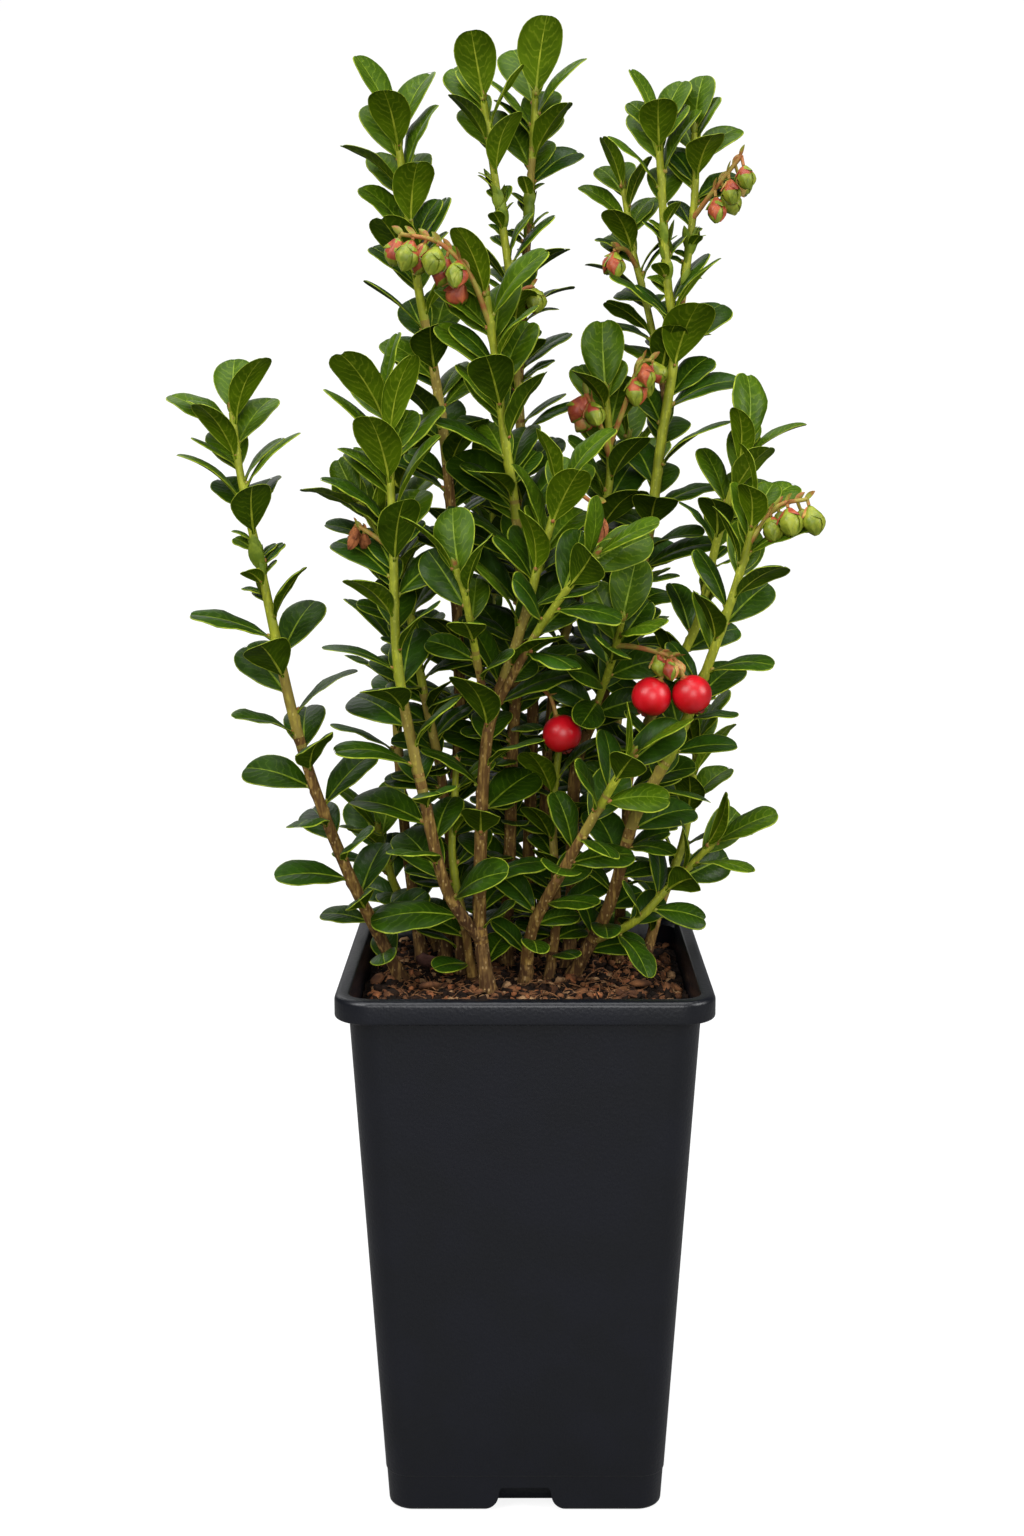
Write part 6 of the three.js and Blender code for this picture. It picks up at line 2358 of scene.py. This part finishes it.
@dataclass(frozen=True)
class Finish:
    """A finish with two mottled colours, a gloss and a fine bump whose depth is in millimetres."""

    name: str
    colour: Colour
    second: Colour
    roughness: float = 0.5
    scale: float = 400.0
    specular: float = 0.4
    coat: float = 0.0
    bump: float = 0.25
    bump_scale: float = 2500.0
    depth: float = 0.05
    subsurface: float = 0.0

    def build(self, groups: Groups) -> Material:
        """Builds the material.

        Args:
            groups: The shared node groups.

        Returns:
            The material.
        """
        material = bpy.data.materials.new(self.name)
        material.use_nodes = True
        sketch = Tree(material.node_tree)
        feeds = {"Colour": self.colour, "Second colour": self.second, "Scale": self.scale}
        mottle = sketch.add("ShaderNodeGroup", feeds, node_tree=groups.mottle)
        colour, height = self.pattern(sketch, groups, mottle.outputs["Colour"])
        feeds = {"Height": height, "Strength": self.bump, "Distance": self.depth * MM}
        values = {
            "Base Color": colour, "Roughness": self.roughness, "Specular IOR Level": self.specular,
            "Coat Weight": self.coat, "Coat Roughness": 0.22,
            "Normal": sketch.add("ShaderNodeBump", feeds).outputs[0],
        }
        if self.subsurface:
            values |= {"Subsurface Weight": self.subsurface, "Subsurface Scale": 0.0008}
        surface = material.node_tree.nodes["Principled BSDF"]
        for name, value in values.items():
            sketch.feed(surface.inputs[name], value)
        return material

    def pattern(self, sketch: Tree, groups: Groups, base: Socket) -> tuple[Socket, Socket]:
        """Returns the finish's colour and its bump height."""
        return base, sketch.noise(sketch.stretched(), self.bump_scale, 3.0)


@dataclass(frozen=True)
class SoilFinish(Finish):
    """Loose stuff in the pot, rough and dull."""

    roughness: float = 0.9
    scale: float = 500.0
    specular: float = 0.2
    bump: float = 0.7
    bump_scale: float = 1800.0
    depth: float = 0.2


@dataclass(frozen=True)
class LeafFinish(Finish):
    """A leaf's blade with paler side veins, as dull as its underside unless it says otherwise."""

    roughness: float = 0.6
    scale: float = 220.0
    specular: float = 0.04
    bump: float = 0.3
    depth: float = 0.08
    vein: Colour = (0.1, 0.2, 0.05)
    vein_share: float = 0.35

    def pattern(self, sketch: Tree, groups: Groups, base: Socket) -> tuple[Socket, Socket]:
        """Returns the veined colour and the quilted height."""
        veins = sketch.add("ShaderNodeGroup", node_tree=groups.veins).outputs
        share = sketch.math("MULTIPLY", veins["Mask"], self.vein_share)
        return sketch.blend(share, base, self.vein), veins["Height"]


@dataclass(frozen=True)
class BarkFinish(Finish):
    """Bark with cracks and pale pores."""

    scale: float = 400.0
    specular: float = 0.12
    crack: Colour = (0.03, 0.02, 0.01)
    pore: Colour = (0.4, 0.3, 0.18)
    pore_share: float = 0.55

    def pattern(self, sketch: Tree, groups: Groups, base: Socket) -> tuple[Socket, Socket]:
        """Returns the cracked colour and the bark's relief."""
        bark = sketch.add("ShaderNodeGroup", {"Scale": self.bump_scale}, node_tree=groups.bark).outputs
        cracked = sketch.blend(bark["Cracks"], self.crack, base)
        share = sketch.math("MULTIPLY", bark["Pores"], self.pore_share)
        return sketch.blend(share, cracked, self.pore), bark["Height"]


@dataclass(frozen=True)
class PlasticFinish(Finish):
    """Moulded plastic with a pebble grain."""

    def pattern(self, sketch: Tree, groups: Groups, base: Socket) -> tuple[Socket, Socket]:
        """Returns the plain colour and the grain's height."""
        grain = sketch.add("ShaderNodeGroup", {"Scale": self.bump_scale}, node_tree=groups.pebbles)
        return base, grain.outputs["Height"]


PLASTIC = PlasticFinish("Black pot plastic", tone(9, 11, 19), tone(7, 9, 15), roughness=0.34, scale=60.0,
                        specular=0.38, bump=0.45, bump_scale=1300.0, depth=0.1)
SOIL = (
    # The first finish is the mix's own dark brown, made darker still so that the plug showing between the
    # crumbs reads as shaded gaps: partly painted shade.
    SoilFinish("Dark crumb with painted gap shade", tone(36, 23, 15), tone(14, 9, 6), 0.95, specular=0.15, bump=0.8, depth=0.3),
    SoilFinish("Dark peat", tone(40, 25, 17), tone(16, 10, 7), 0.95, specular=0.15, bump=0.8, depth=0.3),
    SoilFinish("Brown bark chip", tone(110, 72, 44), tone(62, 38, 23), scale=300.0),
    SoilFinish("Rusty bark chip", tone(146, 92, 56), tone(92, 54, 33)),
    # Pale coir bits, whose light tan also paints the bright glints on the mix: partly painted highlight.
    SoilFinish("Pale coir bit and painted glint", tone(156, 122, 86), tone(108, 80, 54), bump=0.6),
    SoilFinish("Coir fibre", tone(132, 92, 58), tone(84, 56, 36), 0.85, 900.0,
               bump=0.3, bump_scale=3000.0, depth=0.05),
    SoilFinish("Plum bark chip", tone(92, 62, 54), tone(66, 42, 36), 0.8, 250.0, 0.25,
               bump=0.6, bump_scale=1500.0),
)
LEAF = (
    LeafFinish("Young leaf, upper", tone(61, 86, 6), tone(48, 72, 4), 0.42, specular=0.08, coat=0.04,
               bump=0.5, depth=0.12, vein=tone(108, 130, 28), vein_share=0.3),
    LeafFinish("Mature leaf, upper", tone(40, 66, 5), tone(31, 53, 4), 0.4, specular=0.09, coat=0.05,
               bump=0.55, depth=0.13, vein=tone(78, 104, 20), vein_share=0.25),
    LeafFinish("Deep leaf, upper", tone(38, 67, 9), tone(31, 54, 7), 0.38, specular=0.12, coat=0.06,
               bump=0.55, depth=0.13, vein=tone(62, 88, 20), vein_share=0.22),
    LeafFinish("Young leaf, under", tone(75, 98, 6), tone(61, 83, 4), vein=tone(126, 142, 32)),
    LeafFinish("Mature leaf, under", tone(55, 77, 5), tone(44, 64, 4), vein=tone(104, 122, 24),
               vein_share=0.32),
    LeafFinish("Deep leaf, under", tone(54, 76, 5), tone(43, 62, 4), vein=tone(92, 110, 24), vein_share=0.3),
    Finish("Leaf rim", tone(140, 152, 40), tone(98, 116, 22), 0.5, 500.0, 0.12, bump=0.1),
    Finish("Leaf midrib, upper", tone(118, 138, 34), tone(86, 108, 18), 0.45, 400.0, 0.15, bump=0.15),
    Finish("Leaf midrib, under", tone(152, 160, 46), tone(112, 126, 24), 0.5, 400.0, 0.12, bump=0.15),
)
WOOD = (
    BarkFinish("Old brown bark", tone(136, 106, 60), tone(98, 74, 42), 0.8, bump=0.5, bump_scale=1100.0,
               depth=0.14, crack=tone(70, 48, 28), pore=tone(188, 158, 108)),
    BarkFinish("Tan bark", tone(150, 120, 62), tone(114, 88, 42), 0.75, bump=0.4, bump_scale=1200.0,
               depth=0.12, crack=tone(92, 66, 34), pore=tone(196, 168, 108)),
    BarkFinish("Olive bark", tone(156, 142, 58), tone(130, 114, 46), 0.65, 500.0, 0.2, bump_scale=1300.0,
               depth=0.08, crack=tone(128, 112, 50), pore=tone(190, 178, 98)),
    BarkFinish("Green stem", tone(156, 160, 42), tone(128, 136, 34), 0.5, 400.0, 0.2, bump=0.2,
               bump_scale=1500.0, crack=tone(128, 134, 36), pore=tone(176, 178, 66)),
    Finish("Leaf scar", tone(118, 86, 50), tone(84, 58, 34), 0.8, 600.0, 0.15, bump=0.4),
)
BUD = (
    Finish("Green bud", tone(134, 142, 40), tone(98, 112, 24), 0.42, 500.0, 0.3, subsurface=0.05),
    Finish("Red bud", tone(164, 84, 48), tone(134, 52, 34), 0.42, 500.0, 0.3, subsurface=0.05),
    Finish("Cream bud", tone(186, 158, 84), tone(176, 110, 66), 0.42, 500.0, 0.3, subsurface=0.05),
    Finish("Sepal", tone(140, 128, 50), tone(158, 72, 44), 0.5, 600.0, 0.3),
    Finish("Flower stalk", tone(146, 138, 56), tone(152, 92, 50), 0.55, 300.0, 0.25),
    Finish("Ripe berry", tone(192, 10, 26), tone(166, 5, 15), 0.36, 160.0, 0.44, bump=0.08,
           bump_scale=1200.0, subsurface=0.1),
    Finish("Berry calyx", tone(120, 40, 28), tone(74, 24, 20), 0.6, 900.0, 0.25),
    Finish("Bud scale", tone(132, 138, 50), tone(146, 92, 50), 0.5, 500.0, 0.25, subsurface=0.05),
    Finish("Dry flower", tone(158, 96, 56), tone(108, 60, 36), 0.75, 700.0, 0.15, bump=0.5),
    Finish("Waist scale", tone(112, 128, 34), tone(84, 104, 22), 0.5, 500.0, 0.2),
)


@dataclass(frozen=True)
class Softbox:
    """A square studio light: its place and size in metres, its turn in degrees and its power in watts."""

    name: str
    at: Point
    turn: Point
    size: float
    power: float

    def build(self) -> None:
        """Adds the light."""
        light = bpy.data.lights.new(self.name, "AREA")
        light.shape = "SQUARE"
        light.size = self.size
        light.energy = self.power
        holder = bpy.data.objects.new(self.name, light)
        holder.location = self.at
        holder.rotation_euler = [math.radians(angle) for angle in self.turn]
        holder.visible_camera = False
        bpy.context.scene.collection.objects.link(holder)


@dataclass
class Studio:
    """The floor, the surround, the lights and the camera.

    The eye is in metres, the pitch in radians, and the focal length, picture height and side shift are
    in pixels. The sensor and the sweep are in millimetres.
    """

    eye: Point = (0.0, -0.497, 0.261)
    pitch: float = 0.16
    focal: float = 2015.0
    picture_height: float = 1536.0
    side_shift: float = -13.0
    sensor: float = 36.0
    sweep_start: float = 500.0
    sweep_radius: float = 900.0
    sweep_width: float = 3000.0
    sweep_steps: int = 40
    sweep_drop: float = 0.1
    paper_shade: float = 0.2
    paper_glow: float = 0.84
    surround_light: float = 0.11
    lights: tuple[Softbox, ...] = (
        Softbox("key", (-0.75, -0.7, 1.0), (48, 0, -45), 0.7, 14.0),
        Softbox("fill", (1.03, -0.4, 0.7), (62, 0, 69), 0.6, 11.5),
        Softbox("top", (0.0, -0.15, 1.35), (6, 0, 0), 1.1, 16.0),
        Softbox("front", (0.1, -1.15, 0.5), (72, 0, 5), 0.6, 8.0),
        Softbox("back", (-0.5, 1.1, 0.9), (57, 0, -156), 0.9, 3.0),
    )

    def build(self) -> None:
        """Sets the studio up."""
        self.floor()
        self.surround()
        for light in self.lights:
            light.build()
        self.camera()
        bpy.context.scene.view_settings.view_transform = "Standard"

    def glow(self, sketch: Tree) -> Socket:
        """Adds the paper's white as the camera sees it, which lights nothing."""
        seen = sketch.add("ShaderNodeLightPath").outputs["Is Camera Ray"]
        return sketch.math("MULTIPLY", seen, self.paper_glow)

    def floor(self) -> None:
        """Adds the pale floor, which sweeps up into a wall far behind the plant."""
        width, drop = self.sweep_width, self.sweep_drop
        turns = np.linspace(0, QUARTER_TURN, self.sweep_steps)
        bend = np.column_stack((self.sweep_start + self.sweep_radius * np.sin(turns),
                                self.sweep_radius * (1 - np.cos(turns)) - drop))
        line = np.array(((-width, -drop), *bend, (bend[-1, 0], width)))
        rows = [np.column_stack((np.full(len(line), x), line)) for x in (-width, width)]
        draft = Draft()
        draft.add(np.concatenate(rows), grid_faces(2, len(line))[:, ::-1], 0)
        paper = bpy.data.materials.new("White paper")
        paper.use_nodes = True
        sketch = Tree(paper.node_tree)
        values = {"Base Color": (self.paper_shade,) * 3, "Roughness": 0.9, "Specular IOR Level": 0.0,
                  "Emission Color": (1.0, 1.0, 1.0), "Emission Strength": self.glow(sketch)}
        surface = paper.node_tree.nodes["Principled BSDF"]
        for name, value in values.items():
            sketch.feed(surface.inputs[name], value)
        draft.piece("floor", [paper])

    def surround(self) -> None:
        """Lights the room with an even dim white."""
        world = bpy.data.worlds.new("White surround")
        world.use_nodes = True
        sketch = Tree(world.node_tree)
        background = world.node_tree.nodes["Background"]
        sketch.feed(background.inputs["Color"], (1.0, 1.0, 1.0))
        strength = sketch.math("ADD", self.glow(sketch), self.surround_light)
        sketch.feed(background.inputs["Strength"], strength)
        bpy.context.scene.world = world

    def camera(self) -> None:
        """Adds the camera at the photo's angle."""
        lens = bpy.data.cameras.new("camera")
        lens.sensor_fit = "VERTICAL"
        lens.sensor_height = self.sensor
        lens.lens = self.focal / self.picture_height * self.sensor
        lens.shift_x = self.side_shift / self.picture_height
        lens.clip_start = 0.01
        holder = bpy.data.objects.new("camera", lens)
        holder.location = self.eye
        holder.rotation_euler = (QUARTER_TURN - self.pitch, 0, 0)
        bpy.context.scene.collection.objects.link(holder)
        bpy.context.scene.camera = holder


def main() -> None:
    """Builds the scene."""
    logging.basicConfig(level=logging.INFO, format="%(name)s: %(message)s")
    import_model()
    groups = Groups()
    finishes = FinishSet(
        plastic=PLASTIC.build(groups),
        soil=[finish.build(groups) for finish in SOIL],
        leaf=[finish.build(groups) for finish in LEAF],
        wood=[finish.build(groups) for finish in WOOD],
        bud=[finish.build(groups) for finish in BUD],
    )
    Studio().build()
    pot = Pot(finishes.plastic)
    pot.build()
    LOG.info("pot: %d piece", len(pot.pieces))
    soil = PottingMix(finishes.soil)
    soil.build()
    LOG.info("potting mix: %d piece", len(soil.pieces))
    planting = Planting(SHOOTS)
    LOG.info("growth: %d shoots, %d leaves, %d of them as the solids have them", len(planting.shoots),
             len(planting.grown), planting.source_leaves)
    for number, shoot in enumerate(planting.shoots):
        built = ShootPieces(shoot, finishes, PIECE_SEED + number * PIECE_SEED_STEP)
        built.build()
        LOG.info("%s: %d pieces, %d leaves", shoot.plan.name, len(built.pieces), len(shoot.leaves()))
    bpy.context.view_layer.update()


if __name__ == "__main__":
    main()
